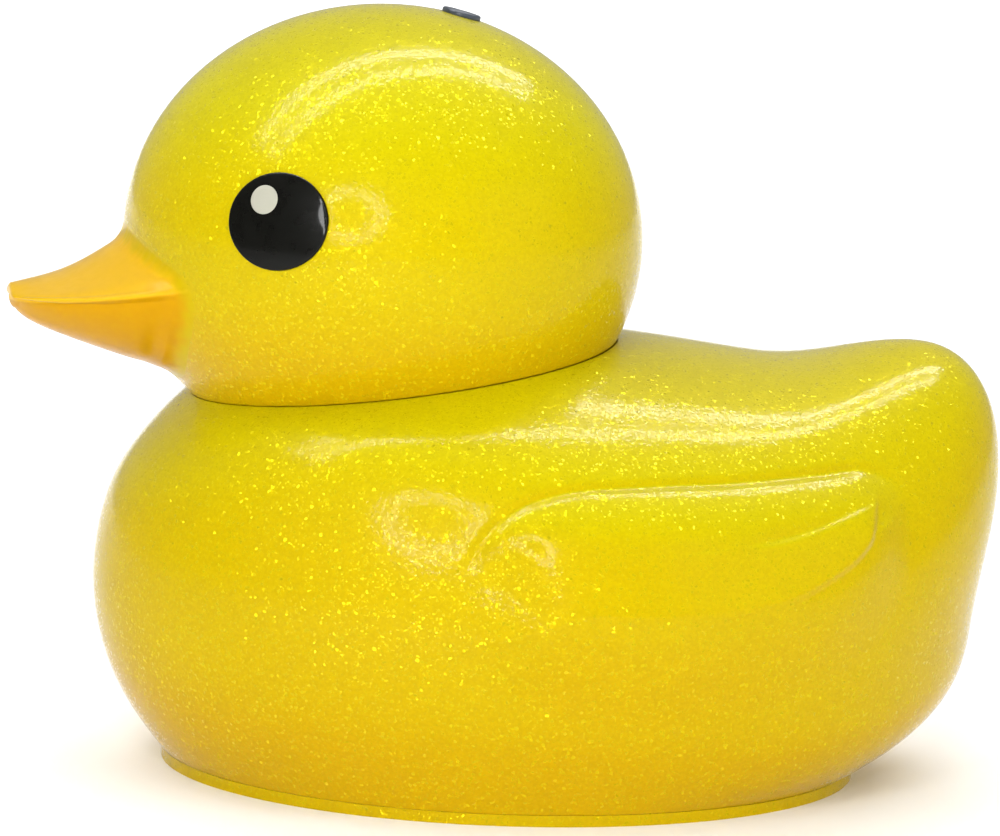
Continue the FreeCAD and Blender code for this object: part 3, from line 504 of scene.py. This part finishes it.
def eye_reach(points, side):
    """Distance of points from an eye's axis, as a share of the oval's own radius in that direction."""
    point, axis, forward, upward = eye_frame(side)
    offset = points - point
    share = np.hypot(offset @ forward / EYE_LONG, offset @ upward / EYE_TALL)
    return np.where(offset @ axis > -FAR_BEHIND, share, OUT_OF_REACH)


def disc_rings(disc_frame, half_long, half_tall, front, back, edge, rows=26, around=144):
    """Rings of a thin domed disc on the head, from the middle of its front to the middle of its back.

    disc_frame is (point, axis, forward, upward), front and back are heights over the head's surface, and
    edge is the rounding of its rim.
    """
    point, axis, forward, upward = disc_frame
    turns = np.linspace(0, 2 * math.pi, around, endpoint=False)
    arc = np.linspace(0, math.pi / 2, 8)
    shares = np.linspace(0, 1 - edge / half_long, rows)[1:]
    path = [(share, front) for share in shares]
    path += [(1 - edge / half_long * (1 - math.sin(a)), front - edge * (1 - math.cos(a))) for a in arc[1:]]
    path += [(1.0, back)]
    path += [(share, back) for share in shares[::-3]]
    rings = []
    for share, height in path:
        flat = (point + np.outer(np.cos(turns) * half_long * share, forward)
                + np.outer(np.sin(turns) * half_tall * share, upward))
        base = drop_to_head(flat, axis)
        rings.append(base + head_normals(base) * height)
    poles = [drop_to_head(point[None], axis) + axis * height for height in (front, back)]
    return rings, poles


def drop_to_head(points, axis):
    """Points moved along an axis onto the head's surface."""
    offset = (points - HEAD_CENTRE) / HEAD_HALVES
    step = axis / HEAD_HALVES
    a = step @ step
    b = offset @ step
    c = np.sum(offset ** 2, axis=-1) - 1
    return points + ((-b + np.sqrt(b * b - a * c)) / a)[:, None] * axis


def make_eye(side_name, side, eye_material, glint_material):
    """A glossy domed eye and the pale dot on it."""
    rings, poles = disc_rings(eye_frame(side), EYE_LONG, EYE_TALL, EYE_PROUD, -EYE_SUNK, EYE_EDGE)
    eye = skin("duck_eye_" + side_name, rings, *poles)
    place(eye, "float", "eye_" + side_name, eye_material)
    point, axis, forward, upward = eye_frame(side)
    spot = drop_to_head((point + forward * GLINT_FORWARD + upward * GLINT_UP)[None], axis)[0]
    spot_axis = head_normals(spot)
    spot_forward = unit(forward - spot_axis * (forward @ spot_axis))
    spot_frame = (spot, spot_axis, spot_forward, np.cross(spot_axis, spot_forward))
    rings, poles = disc_rings(spot_frame, GLINT_RADIUS, GLINT_RADIUS, EYE_PROUD + GLINT_PROUD,
                              EYE_PROUD - GLINT_SUNK, GLINT_EDGE, rows=10, around=72)
    glint = skin("duck_eye_glint_" + side_name, rings, *poles)
    place(glint, "float", "eye_glint_" + side_name, glint_material)


def make_head(material):
    """The head: a shell cut off at the seam, holed at the vent and dished under each eye."""
    outer = head_grid(0, HEAD_ROWS, HEAD_AROUND)
    normals = head_normals(outer)
    lengths = along_lengths(outer)
    sink = rounded_rim(lengths[-1] - lengths)
    for side in (-1, 1):
        dish = 1 - smooth_step(DISH_FLAT, DISH_END, eye_reach(outer, side))
        sink = sink + (EYE_SUNK + DISH_SPARE) * dish
    outer = outer - normals * sink[..., None]
    inner = head_grid(-WALL, HEAD_INNER_ROWS, HEAD_AROUND)
    head = skin("duck_head", np.concatenate([outer, inner[::-1]]), looped=True)
    place(head, "float", "head_shell", material)


# ---------------------------------------------------------------- beak

BILL_POLES = 12
LIP_POLE = 3
LIP_PROUD = 0.8
LIP_WIDE = 0.17
BILL_SET_BACK = 1.3
BILL_ROWS = 260
BILL_AROUND = 240
ROOT_FILLET = 4.0
FILLET_ROWS = 14
FREE_ROWS = 110
TIP_AT = 0.95
NOSE_LONG = 1.3
NOSE_TURNS = (0.25, 0.5, 0.75, 1.0, 1.2, 1.4)
BACK_SHARES = (0.35, 0.65, 0.9, 0.985)
BACK_SUNK = 0.7


def beak_rings():
    """Rings of poles along the bill, the same as the design's."""
    rows = [
        # reach, top, lip, bottom, half width
        (65, 130, 116, 88, 34),
        (85, 128, 113.5, 90, 31),
        (96, 119.5, 111.2, 93.5, 28),
        (106, 112.8, 109.6, 97, 22),
        (114, 110.8, 108.6, 100, 16),
        (117.7, 110.2, 108, 102.5, 10.5),
        (119.2, 109.9, 107.6, 105, 6.5)]
    rings = []
    for reach, top, lip, bottom, half_width in rows:
        above, below = top - lip, lip - bottom
        side = [(0, top), (0.35, lip + 0.80 * above), (0.75, lip + 0.30 * above), (1.03, lip),
                (0.92, lip - 0.40 * below), (0.5, bottom + 0.10 * below), (0, bottom)]
        outline = side + [(-y, z) for y, z in side[-2:0:-1]]
        rings.append([(KEEL_X - reach, y * half_width, z) for y, z in outline])
    return np.array(rings)


def bill_relief(grid, along):
    """How far the bill's skin stands out: a raised lip line, and below it a step back.

    Distances round the bill are counted in poles, and both features fade out at the face.
    """
    turn = np.arange(BILL_AROUND) / BILL_AROUND
    lip_turn = LIP_POLE / BILL_POLES
    from_lip = np.minimum(np.abs(turn - lip_turn), np.abs(turn - 1 + lip_turn)) * BILL_POLES
    under = (turn > lip_turn) & (turn < 1 - lip_turn)
    lip = LIP_PROUD * np.exp(-(from_lip / LIP_WIDE) ** 2)
    step_back = BILL_SET_BACK * under * smooth_step(0.04, 0.28, from_lip)
    step_back = step_back * (1 - 0.4 * smooth_step(1.2, 2.8, from_lip))
    clear_of_face = smooth_step(0.5, 5.0, head_level(grid) * HEAD_WIDE)
    short_of_tip = 1 - smooth_step(0.75, 0.95, along)[:, None]
    return (lip * short_of_tip - step_back) * clear_of_face


def on_column(places, along, column):
    """Points or normals of one column of a grid, at places along it."""
    return np.stack([np.interp(places, along, column[:, i]) for i in range(3)], axis=-1)


def bill_column(column, normals, along):
    """One line of the bill from the face to the tip: it lands on the face in a fillet."""
    contact = along[np.nonzero(head_level(column) < 0)[0][-1]]
    lengths = along_lengths(column[:, None])[:, 0]
    leave = np.interp(np.interp(contact, along, lengths) + ROOT_FILLET, lengths, along)
    corner = on_column(contact, along, column)
    outward = on_column(contact, along, normals)
    face = head_normals(corner)
    sweep = unit(outward - face * (outward @ face))
    landing = on_head(corner + sweep * ROOT_FILLET - HEAD_CENTRE)
    blend = np.linspace(0, 1, FILLET_ROWS)[:, None]
    fillet = (landing * (1 - blend) ** 2 + 2 * corner * blend * (1 - blend)
              + on_column(leave, along, column) * blend ** 2)
    free = leave + (TIP_AT - leave) * np.linspace(0, 1, FREE_ROWS)[1:] ** 1.2
    return np.concatenate([fillet, on_column(free, along, column)])


def make_beak(material):
    """The bill: its sides run out from the face to a domed tip, and it is closed just under the face."""
    along = np.linspace(0, 1, BILL_ROWS)
    grid = tube_grid(beak_rings(), along, BILL_AROUND)
    normals = grid_normals(grid, np.array([KEEL_X - 90, 0, 108]))
    grid = grid + normals * bill_relief(grid, along)[..., None]
    rings = np.stack([bill_column(grid[:, k], normals[:, k], along) for k in range(BILL_AROUND)], axis=1)
    root = rings[0].mean(axis=0)
    back = [on_head(root + (rings[0] - root) * share - HEAD_CENTRE, -BACK_SUNK) for share in BACK_SHARES]
    end = rings[-1].mean(axis=0)
    nose = [end + FACING * NOSE_LONG * math.sin(a) + (rings[-1] - end) * math.cos(a) for a in NOSE_TURNS]
    bill = skin("duck_bill", np.concatenate([np.array(back), rings, np.array(nose)]),
                on_head(root - HEAD_CENTRE, -BACK_SUNK), end + FACING * NOSE_LONG)
    place(bill, "float", "beak", material)


# ---------------------------------------------------------------- vent plug

PLUG_STEM = 2.95
PLUG_CAP = 4.5
PLUG_LONG = 10
RIB_FIRST = -8.6
RIB_PITCH = 2.4
CAP_ROUND = 0.5
DIMPLE_Z = 0.72


def turned_rings(path, point, axis, around=96):
    """Rings of a turned shape: path is (radius, height) pairs along the axis from a point."""
    across = unit(np.cross(axis, np.array([0.0, 1.0, 0.0])))
    other = np.cross(axis, across)
    turns = np.linspace(0, 2 * math.pi, around, endpoint=False)
    spokes = np.outer(np.cos(turns), across) + np.outer(np.sin(turns), other)
    return [point + axis * height + spokes * radius for radius, height in path]


def make_plug(material):
    """The vent plug: a low rounded cap with a dimple in it, on a ribbed stem."""
    path = [(PLUG_STEM * 0.6, -PLUG_LONG), (PLUG_STEM - 0.35, -9.9), (PLUG_STEM - 0.1, -9.6)]
    for k in range(3):
        rib = RIB_FIRST + RIB_PITCH * k
        path += [(PLUG_STEM - 0.1, rib - 0.4), (PLUG_STEM, rib - 0.2), (PLUG_STEM, rib + 0.2),
                 (PLUG_STEM - 0.25, rib + 0.5)]
    path += [(PLUG_STEM - 0.2, -0.32), (PLUG_CAP - 0.25, -0.3), (PLUG_CAP - 0.05, -0.2)]
    path += [(PLUG_CAP, 0.0), (PLUG_CAP, 0.35)]
    for a in np.linspace(0.1, math.pi / 2, 7):
        path.append((PLUG_CAP - CAP_ROUND + CAP_ROUND * math.cos(a), 0.45 + CAP_ROUND * math.sin(a)))
    path += [(3.1, 1.0), (2.8, 0.92), (2.6, 0.75), (1.2, DIMPLE_Z)]
    rings = turned_rings(path, VENT_POINT, VENT_AXIS)
    plug = skin("vent_plug_cap", rings, VENT_POINT - VENT_AXIS * PLUG_LONG, VENT_POINT + VENT_AXIS * DIMPLE_Z)
    place(plug, "vent_plug", "crown_vent_plug", material)


# ---------------------------------------------------------------- materials

class Nodes:
    """A short way to write a material's node tree."""

    def __init__(self, name):
        self.material = bpy.data.materials.new(name)
        self.material.use_nodes = True
        self.tree = self.material.node_tree
        self.shader = self.tree.nodes["Principled BSDF"]
        self.object = self.node("ShaderNodeTexCoord").outputs["Object"]

    def node(self, kind, links=(), **values):
        """A node with its sockets' values set; links pairs a socket's name with an output."""
        made = self.tree.nodes.new(kind)
        for key, value in values.items():
            made.inputs[key].default_value = value
        for socket, output in links:
            self.tree.links.new(output, made.inputs[socket])
        return made

    def noise(self, scale, detail=2.0, vector=None):
        """Noise at a number of features per metre."""
        links = [("Vector", vector or self.object)]
        return self.node("ShaderNodeTexNoise", links, Scale=scale, Detail=detail).outputs["Fac"]

    def ramp(self, value, low, high, start=0.0, end=1.0, smooth=True):
        """A value mapped from low..high to start..end and clamped."""
        made = self.node("ShaderNodeMapRange", [("Value", value)])
        made.interpolation_type = "SMOOTHSTEP" if smooth else "LINEAR"
        for socket, number in (("From Min", low), ("From Max", high), ("To Min", start), ("To Max", end)):
            made.inputs[socket].default_value = number
        return made.outputs["Result"]

    def math(self, operation, first, second=0.0):
        """One arithmetic step on outputs or numbers."""
        made = self.node("ShaderNodeMath")
        made.operation = operation
        for index, value in enumerate((first, second)):
            if isinstance(value, (int, float)):
                made.inputs[index].default_value = value
            else:
                self.tree.links.new(value, made.inputs[index])
        return made.outputs[0]

    def mix(self, share, first, second, blend="MIX"):
        """Two colours mixed by a share; each is an output or a tuple."""
        made = self.node("ShaderNodeMix")
        made.data_type = "RGBA"
        made.blend_type = blend
        for socket, value in ((made.inputs[0], share), (made.inputs[6], first), (made.inputs[7], second)):
            if isinstance(value, (int, float)):
                socket.default_value = value
            elif isinstance(value, tuple):
                socket.default_value = (*value, 1.0)
            else:
                self.tree.links.new(value, socket)
        return made.outputs[2]

    def vector(self, operation, first, second=None, scale=None):
        """One vector step."""
        made = self.node("ShaderNodeVectorMath")
        made.operation = operation
        for index, value in enumerate((first, second)):
            if isinstance(value, tuple):
                made.inputs[index].default_value = value
            elif value is not None:
                self.tree.links.new(value, made.inputs[index])
        if scale is not None:
            made.inputs["Scale"].default_value = scale
        return made.outputs["Value" if operation == "LENGTH" else "Vector"]

    def bump(self, height, strength, distance, normal=None):
        """A bump normal from a height output; distance is in metres."""
        made = self.node("ShaderNodeBump", [("Height", height)])
        made.inputs["Strength"].default_value = strength
        made.inputs["Distance"].default_value = distance
        if normal is not None:
            self.tree.links.new(normal, made.inputs["Normal"])
        return made.outputs["Normal"]

    def set(self, **values):
        """Set sockets of the shader: numbers and tuples stay unlinked, outputs are linked."""
        for key, value in values.items():
            socket = self.shader.inputs[key.replace("_", " ")]
            if isinstance(value, (int, float)):
                socket.default_value = value
            elif isinstance(value, tuple):
                socket.default_value = (*value, 1.0) if len(socket.default_value) == 4 else value
            else:
                self.tree.links.new(value, socket)


# Lemon is painted light for surfaces that face up or stand high, gold is painted shade for those that face
# down or sit low, and yellow lies between.
PAINTED_LIGHT_LEMON = (0.490, 0.432, 0.0005)
YELLOW = (0.485, 0.358, 0.0005)
PAINTED_SHADE_GOLD = (0.505, 0.308, 0.0005)
FLAKE_PALE = (0.80, 0.70, 0.006)


def sparkle(nodes, straight, cells, share, tilt, seed):
    """Glitter: a mask of small ragged flakes, and the straight normal tilted at random on each."""
    ragged = nodes.node("ShaderNodeTexNoise", [("Vector", nodes.object)], Scale=cells * 1.5, Detail=0.0)
    shake = nodes.vector("SCALE", ragged.outputs["Color"], scale=0.7 / cells)
    moved = nodes.vector("ADD", nodes.vector("ADD", nodes.object, shake), (seed, seed * 0.7, seed * 0.3))
    cell = nodes.node("ShaderNodeTexVoronoi", [("Vector", moved)], Scale=cells, Randomness=1.0)
    parts = nodes.node("ShaderNodeSeparateColor", [("Color", cell.outputs["Color"])])
    chosen = nodes.ramp(parts.outputs["Blue"], 1 - share - 0.01, 1 - share)
    round_flake = nodes.ramp(cell.outputs["Distance"], 0.28, 0.45, 1.0, 0.0)
    mask = nodes.math("MULTIPLY", chosen, round_flake)
    spread = nodes.vector("SUBTRACT", cell.outputs["Color"], (0.5, 0.5, 0.5))
    turned = nodes.vector("SCALE", spread, scale=tilt)
    normal = nodes.vector("NORMALIZE", nodes.vector("ADD", straight, turned))
    return mask, normal


def glitter_yellow():
    """Clear-coated yellow plastic filled with fine pale glitter, with painted light and shade: lemon where
    the surface faces up or stands high, gold where it faces down or sits low.
    """
    nodes = Nodes("glitter_yellow_plastic")
    straight = nodes.node("ShaderNodeNewGeometry").outputs["Normal"]
    upward = nodes.node("ShaderNodeSeparateXYZ", [("Vector", straight)]).outputs["Z"]
    height = nodes.node("ShaderNodeSeparateXYZ", [("Vector", nodes.object)]).outputs["Z"]
    patchy = nodes.ramp(nodes.noise(16.0, 3.0), 0.35, 0.70, -0.10, 0.10)
    # Painted light: the lemon share grows on upward-facing surfaces and high up. Painted shade: the gold
    # share grows on downward-facing surfaces and low down.
    painted_light_share = nodes.math("ADD", nodes.ramp(upward, 0.15, 0.75, 0.0, 0.75),
                        nodes.ramp(height, 0.085, 0.150, 0.0, 0.30))
    painted_light_share = nodes.math("ADD", painted_light_share, patchy)
    painted_shade_share = nodes.math("ADD", nodes.ramp(upward, -0.05, -0.6, 0.0, 0.8),
                        nodes.ramp(height, 0.08, 0.01, 0.1, 0.5))
    painted_shade_share = nodes.math("ADD", painted_shade_share, patchy)
    colour = nodes.mix(nodes.ramp(painted_shade_share, 0.0, 1.0, smooth=False), YELLOW, PAINTED_SHADE_GOLD)
    colour = nodes.mix(nodes.ramp(painted_light_share, 0.0, 1.0, smooth=False), colour, PAINTED_LIGHT_LEMON)
    grain = nodes.ramp(nodes.noise(1300.0, 1.0), 0.30, 0.70, 0.95, 1.03)
    tint = nodes.node("ShaderNodeCombineColor", [("Red", grain), ("Green", grain), ("Blue", grain)])
    colour = nodes.mix(1.0, colour, tint.outputs["Color"], blend="MULTIPLY")
    large_mask, large_normal = sparkle(nodes, straight, cells=1050.0, share=0.34, tilt=0.75, seed=3.1)
    fine_mask, fine_normal = sparkle(nodes, straight, cells=2000.0, share=0.38, tilt=0.6, seed=7.7)
    mask = nodes.math("MAXIMUM", large_mask, fine_mask)
    colour = nodes.mix(nodes.math("MULTIPLY", mask, 0.34), colour, FLAKE_PALE)
    flakes = nodes.mix(large_mask, nodes.mix(fine_mask, straight, fine_normal), large_normal)
    ripple = nodes.bump(nodes.noise(900.0, 1.0), 0.7, 0.00009)
    ripple = nodes.bump(nodes.noise(55.0, 1.0), 0.20, 0.0004, ripple)
    nodes.set(Base_Color=colour, Metallic=nodes.math("MULTIPLY", mask, 0.30),
              Roughness=nodes.ramp(mask, 0.0, 1.0, 0.45, 0.22), Normal=flakes, Specular_IOR_Level=0.02,
              Coat_Weight=1.0, Coat_Roughness=0.11, Coat_IOR=1.15, Coat_Normal=ripple)
    return nodes.material


# The paint changes at the lip line: its height at x = 0, and how much it climbs for each metre rearwards.
LIP_CLIMB = 0.172
LIP_HEIGHT = 0.1268
UPPER_ORANGE = (0.665, 0.385, 0.008)
# The deeper orange under the lip line is painted shade on the downward-facing lower bill.
PAINTED_SHADE_ORANGE = (0.515, 0.255, 0.0005)
BILL_YELLOW = (0.48, 0.35, 0.0005)
BILL_FLECK = (0.56, 0.35, 0.002)


def bill_orange():
    """Satin orange paint over yellow plastic, misted out at the face; below the lip line it is a deeper
    orange as painted shade on the downward-facing lower bill.
    """
    nodes = Nodes("bill_orange_paint")
    parts = nodes.node("ShaderNodeSeparateXYZ", [("Vector", nodes.object)])
    climb = nodes.math("MULTIPLY", parts.outputs["X"], LIP_CLIMB)
    over_lip = nodes.math("SUBTRACT", parts.outputs["Z"], climb)
    offset = nodes.vector("SUBTRACT", nodes.object, tuple(float(v) * MM for v in HEAD_CENTRE))
    scaled = nodes.vector("DIVIDE", offset, tuple(float(v) * MM for v in HEAD_HALVES))
    level = nodes.vector("LENGTH", scaled)
    speckled = nodes.math("ADD", level, nodes.math("MULTIPLY", nodes.noise(260.0, 3.0), 0.03))
    mist = nodes.ramp(speckled, 1.012, 1.042)
    above = nodes.ramp(over_lip, LIP_HEIGHT - 0.0010, LIP_HEIGHT - 0.0002)
    orange = nodes.mix(above, PAINTED_SHADE_ORANGE, UPPER_ORANGE)
    colour = nodes.mix(mist, BILL_YELLOW, orange)
    colour = nodes.mix(nodes.ramp(nodes.noise(600.0, 2.0), 0.4, 0.7, 0.0, 0.12), colour, BILL_FLECK)
    nodes.set(Base_Color=colour, Roughness=nodes.ramp(nodes.noise(300.0), 0.3, 0.7, 0.32, 0.42),
              Specular_IOR_Level=0.03, Coat_Weight=0.6, Coat_Roughness=0.16, Coat_IOR=1.15,
              Normal=nodes.bump(nodes.noise(900.0, 2.0), 0.12, 0.0001))
    return nodes.material


def moulded(name, colour, roughness, coat=0.0, vary=0.12, gloss=0.5):
    """Plain moulded plastic or rubber with a fine grain and slight unevenness."""
    nodes = Nodes(name)
    darker = tuple(part * 0.72 for part in colour)
    shade = nodes.mix(nodes.ramp(nodes.noise(90.0, 4.0), 0.35, 0.7), colour, darker)
    shade = nodes.mix(vary, colour, shade)
    nodes.set(Base_Color=shade,
              Roughness=nodes.ramp(nodes.noise(240.0, 3.0), 0.3, 0.7, roughness - 0.05, roughness + 0.06),
              Coat_Weight=coat, Coat_Roughness=0.05, Coat_IOR=1.18, Specular_IOR_Level=gloss,
              Normal=nodes.bump(nodes.noise(1400.0, 2.0), 0.15, 0.00008))
    return nodes.material


def brushed(name, colour, roughness):
    """Metal with fine turning marks and a little dulling."""
    nodes = Nodes(name)
    stretched = nodes.vector("MULTIPLY", nodes.object, (1.0, 1.0, 14.0))
    marks = nodes.noise(900.0, 2.0, stretched)
    dull = nodes.noise(140.0, 3.0)
    darker = tuple(part * 0.7 for part in colour)
    nodes.set(Base_Color=nodes.mix(nodes.ramp(dull, 0.4, 0.75, 0.0, 0.6), colour, darker), Metallic=1.0,
              Roughness=nodes.ramp(marks, 0.3, 0.7, roughness - 0.06, roughness + 0.1),
              Normal=nodes.bump(marks, 0.1, 0.00005))
    return nodes.material


BEVELS = {"base_plate": 0.5, "tablet_basket": 0.25, "dose_dial": 0.4, "lock_ring": 0.3}
BEVEL_SHARPER_THAN = math.radians(50)


def finish_cad_nodes(materials):
    """Give every CAD node its material, and round the edges of a few of them a little."""
    slots = {part["node"]: part["material_slot"] for part in frame["record"]["subparts"]}
    for name, thing in frame["nodes"].items():
        thing.data.materials.clear()
        thing.data.materials.append(materials[slots[name]])
        if name in BEVELS:
            bevel = thing.modifiers.new("edges", "BEVEL")
            bevel.width = BEVELS[name] * MM
            bevel.segments = 3
            bevel.limit_method = "ANGLE"
            bevel.angle_limit = BEVEL_SHARPER_THAN
            bevel.harden_normals = True


# ---------------------------------------------------------------- studio

CAMERA_AROUND = math.radians(-10.0)
CAMERA_LIFT = math.radians(12.0)
CAMERA_ROLL = math.radians(2.44)
CAMERA_DISTANCE = 1.5
CAMERA_LENS = 232.2
SIGHT = Vector((KEEL_X * MM, 0, 0))
AIM_RIGHT = -0.0050
AIM_UP = 0.0795
STRIP_POWER = 18.0
STRIP_LONG = 2.4
STRIP_WIDE = 0.075
STRIP_HIGH = 1.20
STRIP_X = -0.15
STRIP_YS = (0.30, 0.04)
STRIP_SLANT = math.atan(0.42)
RING_GLOW = 36.0
RING_PLACE = (-0.455, -1.10, 0.54)
RING_RADIUS = 0.26
RING_TUBE = 0.032
RING_FLATNESS = 0.3
DUCK_MIDDLE = (0, 0, 0.09)
FLOOR_HALF = 8.0
DIM = 0.14
PALE = 0.45


def make_camera():
    """A long lens from the duck's left front, a little above it, with a slight roll."""
    back = Vector((math.sin(CAMERA_AROUND) * math.cos(CAMERA_LIFT),
                   -math.cos(CAMERA_AROUND) * math.cos(CAMERA_LIFT), math.sin(CAMERA_LIFT)))
    right = Vector((math.cos(CAMERA_AROUND), math.sin(CAMERA_AROUND), 0))
    up = back.cross(right)
    eye = SIGHT + back * CAMERA_DISTANCE
    aim = SIGHT + right * AIM_RIGHT + up * AIM_UP
    z_axis = (eye - aim).normalized()
    x_axis = (right - z_axis * right.dot(z_axis)).normalized()
    x_axis = Matrix.Rotation(CAMERA_ROLL, 3, z_axis) @ x_axis
    y_axis = z_axis.cross(x_axis)
    data = bpy.data.cameras.new("camera")
    data.lens = CAMERA_LENS
    data.sensor_width = 36
    data.clip_start = 0.05
    data.clip_end = 50
    camera = bpy.data.objects.new("camera", data)
    camera.matrix_world = Matrix((
        (x_axis.x, y_axis.x, z_axis.x, eye.x), (x_axis.y, y_axis.y, z_axis.y, eye.y),
        (x_axis.z, y_axis.z, z_axis.z, eye.z), (0, 0, 0, 1)))
    bpy.context.scene.collection.objects.link(camera)
    bpy.context.scene.camera = camera


def glow(name, strength):
    """A plain white emitting material."""
    material = bpy.data.materials.new(name)
    material.use_nodes = True
    tree = material.node_tree
    tree.nodes.clear()
    light = tree.nodes.new("ShaderNodeEmission")
    light.inputs["Color"].default_value = (1, 1, 1, 1)
    light.inputs["Strength"].default_value = strength
    out = tree.nodes.new("ShaderNodeOutputMaterial")
    tree.links.new(light.outputs[0], out.inputs["Surface"])
    return material


def area_light(name, position, target, size, size_y, power, turn=0.0):
    """A rectangular soft light aimed at a point."""
    data = bpy.data.lights.new(name, "AREA")
    data.shape = "RECTANGLE"
    data.size = size
    data.size_y = size_y
    data.energy = power
    lamp = bpy.data.objects.new(name, data)
    direction = Vector(target) - Vector(position)
    rotation = direction.to_track_quat("-Z", "Y").to_matrix() @ Matrix.Rotation(turn, 3, "Z")
    lamp.matrix_world = Matrix.Translation(position) @ rotation.to_4x4()
    bpy.context.scene.collection.objects.link(lamp)
    return lamp


def ring_light():
    """A glowing ring that faces the duck."""
    mesh = bpy.data.meshes.new("ring_light")
    around, across = 96, 16
    points, faces = [], []
    for k in range(around):
        turn = 2 * math.pi * k / around
        after = (k + 1) % around
        for j in range(across):
            bend = 2 * math.pi * j / across
            next_j = (j + 1) % across
            reach = RING_RADIUS + RING_TUBE * math.cos(bend)
            points.append((reach * math.cos(turn), reach * math.sin(turn),
                           RING_TUBE * RING_FLATNESS * math.sin(bend)))
            faces.append((k * across + j, after * across + j, after * across + next_j, k * across + next_j))
    mesh.from_pydata(points, [], faces)
    mesh.materials.append(glow("ring_light_glow", RING_GLOW))
    ring = bpy.data.objects.new("ring_light", mesh)
    facing = (Vector(DUCK_MIDDLE) - Vector(RING_PLACE)).to_track_quat("-Z", "Y").to_matrix()
    ring.matrix_world = Matrix.Translation(RING_PLACE) @ facing.to_4x4()
    bpy.context.scene.collection.objects.link(ring)
    ring.visible_camera = False


def make_floor():
    """A wide pale floor."""
    mesh = bpy.data.meshes.new("floor")
    corners = [(x * FLOOR_HALF, y * FLOOR_HALF, 0) for x, y in ((-1, -1), (1, -1), (1, 1), (-1, 1))]
    mesh.from_pydata(corners, [], [(0, 1, 2, 3)])
    nodes = Nodes("floor_paper")
    patchy = nodes.ramp(nodes.noise(3.0), 0.3, 0.7)
    nodes.set(Base_Color=nodes.mix(patchy, (0.95, 0.95, 0.95), (0.93, 0.93, 0.93)), Roughness=0.95,
              Specular_IOR_Level=0.1)
    mesh.materials.append(nodes.material)
    floor = bpy.data.objects.new("floor", mesh)
    bpy.context.scene.collection.objects.link(floor)


def make_world():
    """Surroundings that are pale behind the duck and dim on the camera's side."""
    world = bpy.data.worlds.new("surroundings")
    world.use_nodes = True
    tree = world.node_tree
    direction = tree.nodes.new("ShaderNodeTexCoord")
    parts = tree.nodes.new("ShaderNodeSeparateXYZ")
    tree.links.new(direction.outputs["Generated"], parts.inputs["Vector"])
    rise = tree.nodes.new("ShaderNodeMapRange")
    rise.interpolation_type = "SMOOTHSTEP"
    for socket, number in (("From Min", -0.2), ("From Max", 0.8), ("To Min", DIM), ("To Max", PALE)):
        rise.inputs[socket].default_value = number
    tree.links.new(parts.outputs["Y"], rise.inputs["Value"])
    background = tree.nodes["Background"]
    background.inputs["Color"].default_value = (1, 1, 1, 1)
    tree.links.new(rise.outputs["Result"], background.inputs["Strength"])
    bpy.context.scene.world = world


def make_studio():
    """Soft fills that leave no reflection, two thin ceiling strips and a ring light."""
    make_world()
    for k, y in enumerate(STRIP_YS):
        strip = area_light(f"ceiling_strip_{k}", (STRIP_X, y, STRIP_HIGH), (STRIP_X, y, 0), STRIP_LONG,
                           STRIP_WIDE, STRIP_POWER, turn=STRIP_SLANT)
        strip.visible_diffuse = False
    ring_light()
    fills = (
        # name, position, aimed at, width, height, power
        ("fill_above", (0, 1.2, 2.6), (0, 1.0, 0), 5.0, 5.0, 102),
        ("fill_front", (0, -2.6, 0.9), (0, 0, 0.07), 3.0, 1.6, 6),
        ("fill_left", (-2.2, -1.6, 0.9), (0, 0, 0.07), 2.0, 1.6, 14),
        ("fill_right", (2.2, -1.6, 0.9), (0, 0, 0.07), 2.0, 1.6, 36),
        ("fill_back", (0, 2.4, 1.0), (0, 0, 0.07), 3.0, 1.6, 36))
    for name, position, target, size, size_y, power in fills:
        area_light(name, position, target, size, size_y, power).visible_glossy = False
    scene = bpy.context.scene
    scene.view_settings.view_transform = "Standard"
    scene.view_settings.look = "None"


# ---------------------------------------------------------------- the whole scene

def build():
    """Make the camera, studio, pieces and materials."""
    make_camera()
    make_studio()
    make_floor()
    materials = {
        "glitter_yellow": glitter_yellow(),
        "bill_orange": bill_orange(),
        "eye_black": moulded("eye_black_gloss", (0.004, 0.004, 0.003), 0.30, coat=1.0, vary=0.5, gloss=0.05),
        "glint_grey": moulded("glint_grey_paint", (0.40, 0.39, 0.31), 0.35, coat=0.6),
        "vent_grey": moulded("vent_grey_plastic", (0.045, 0.055, 0.075), 0.38),
        "basket_white": moulded("basket_white_plastic", (0.72, 0.73, 0.72), 0.45),
        "dial_blue": moulded("dial_blue_plastic", (0.02, 0.09, 0.28), 0.42),
        "seal_rubber": moulded("seal_black_rubber", (0.012, 0.012, 0.012), 0.62),
        "stainless": brushed("stainless_steel", (0.60, 0.59, 0.57), 0.28),
        "ballast_steel": brushed("zinc_steel", (0.42, 0.43, 0.44), 0.42)}
    make_body(materials["glitter_yellow"])
    make_head(materials["glitter_yellow"])
    make_beak(materials["bill_orange"])
    for side_name, side in (("left", -1), ("right", 1)):
        make_eye(side_name, side, materials["eye_black"], materials["glint_grey"])
    make_plug(materials["vent_grey"])
    finish_cad_nodes(materials)


build()
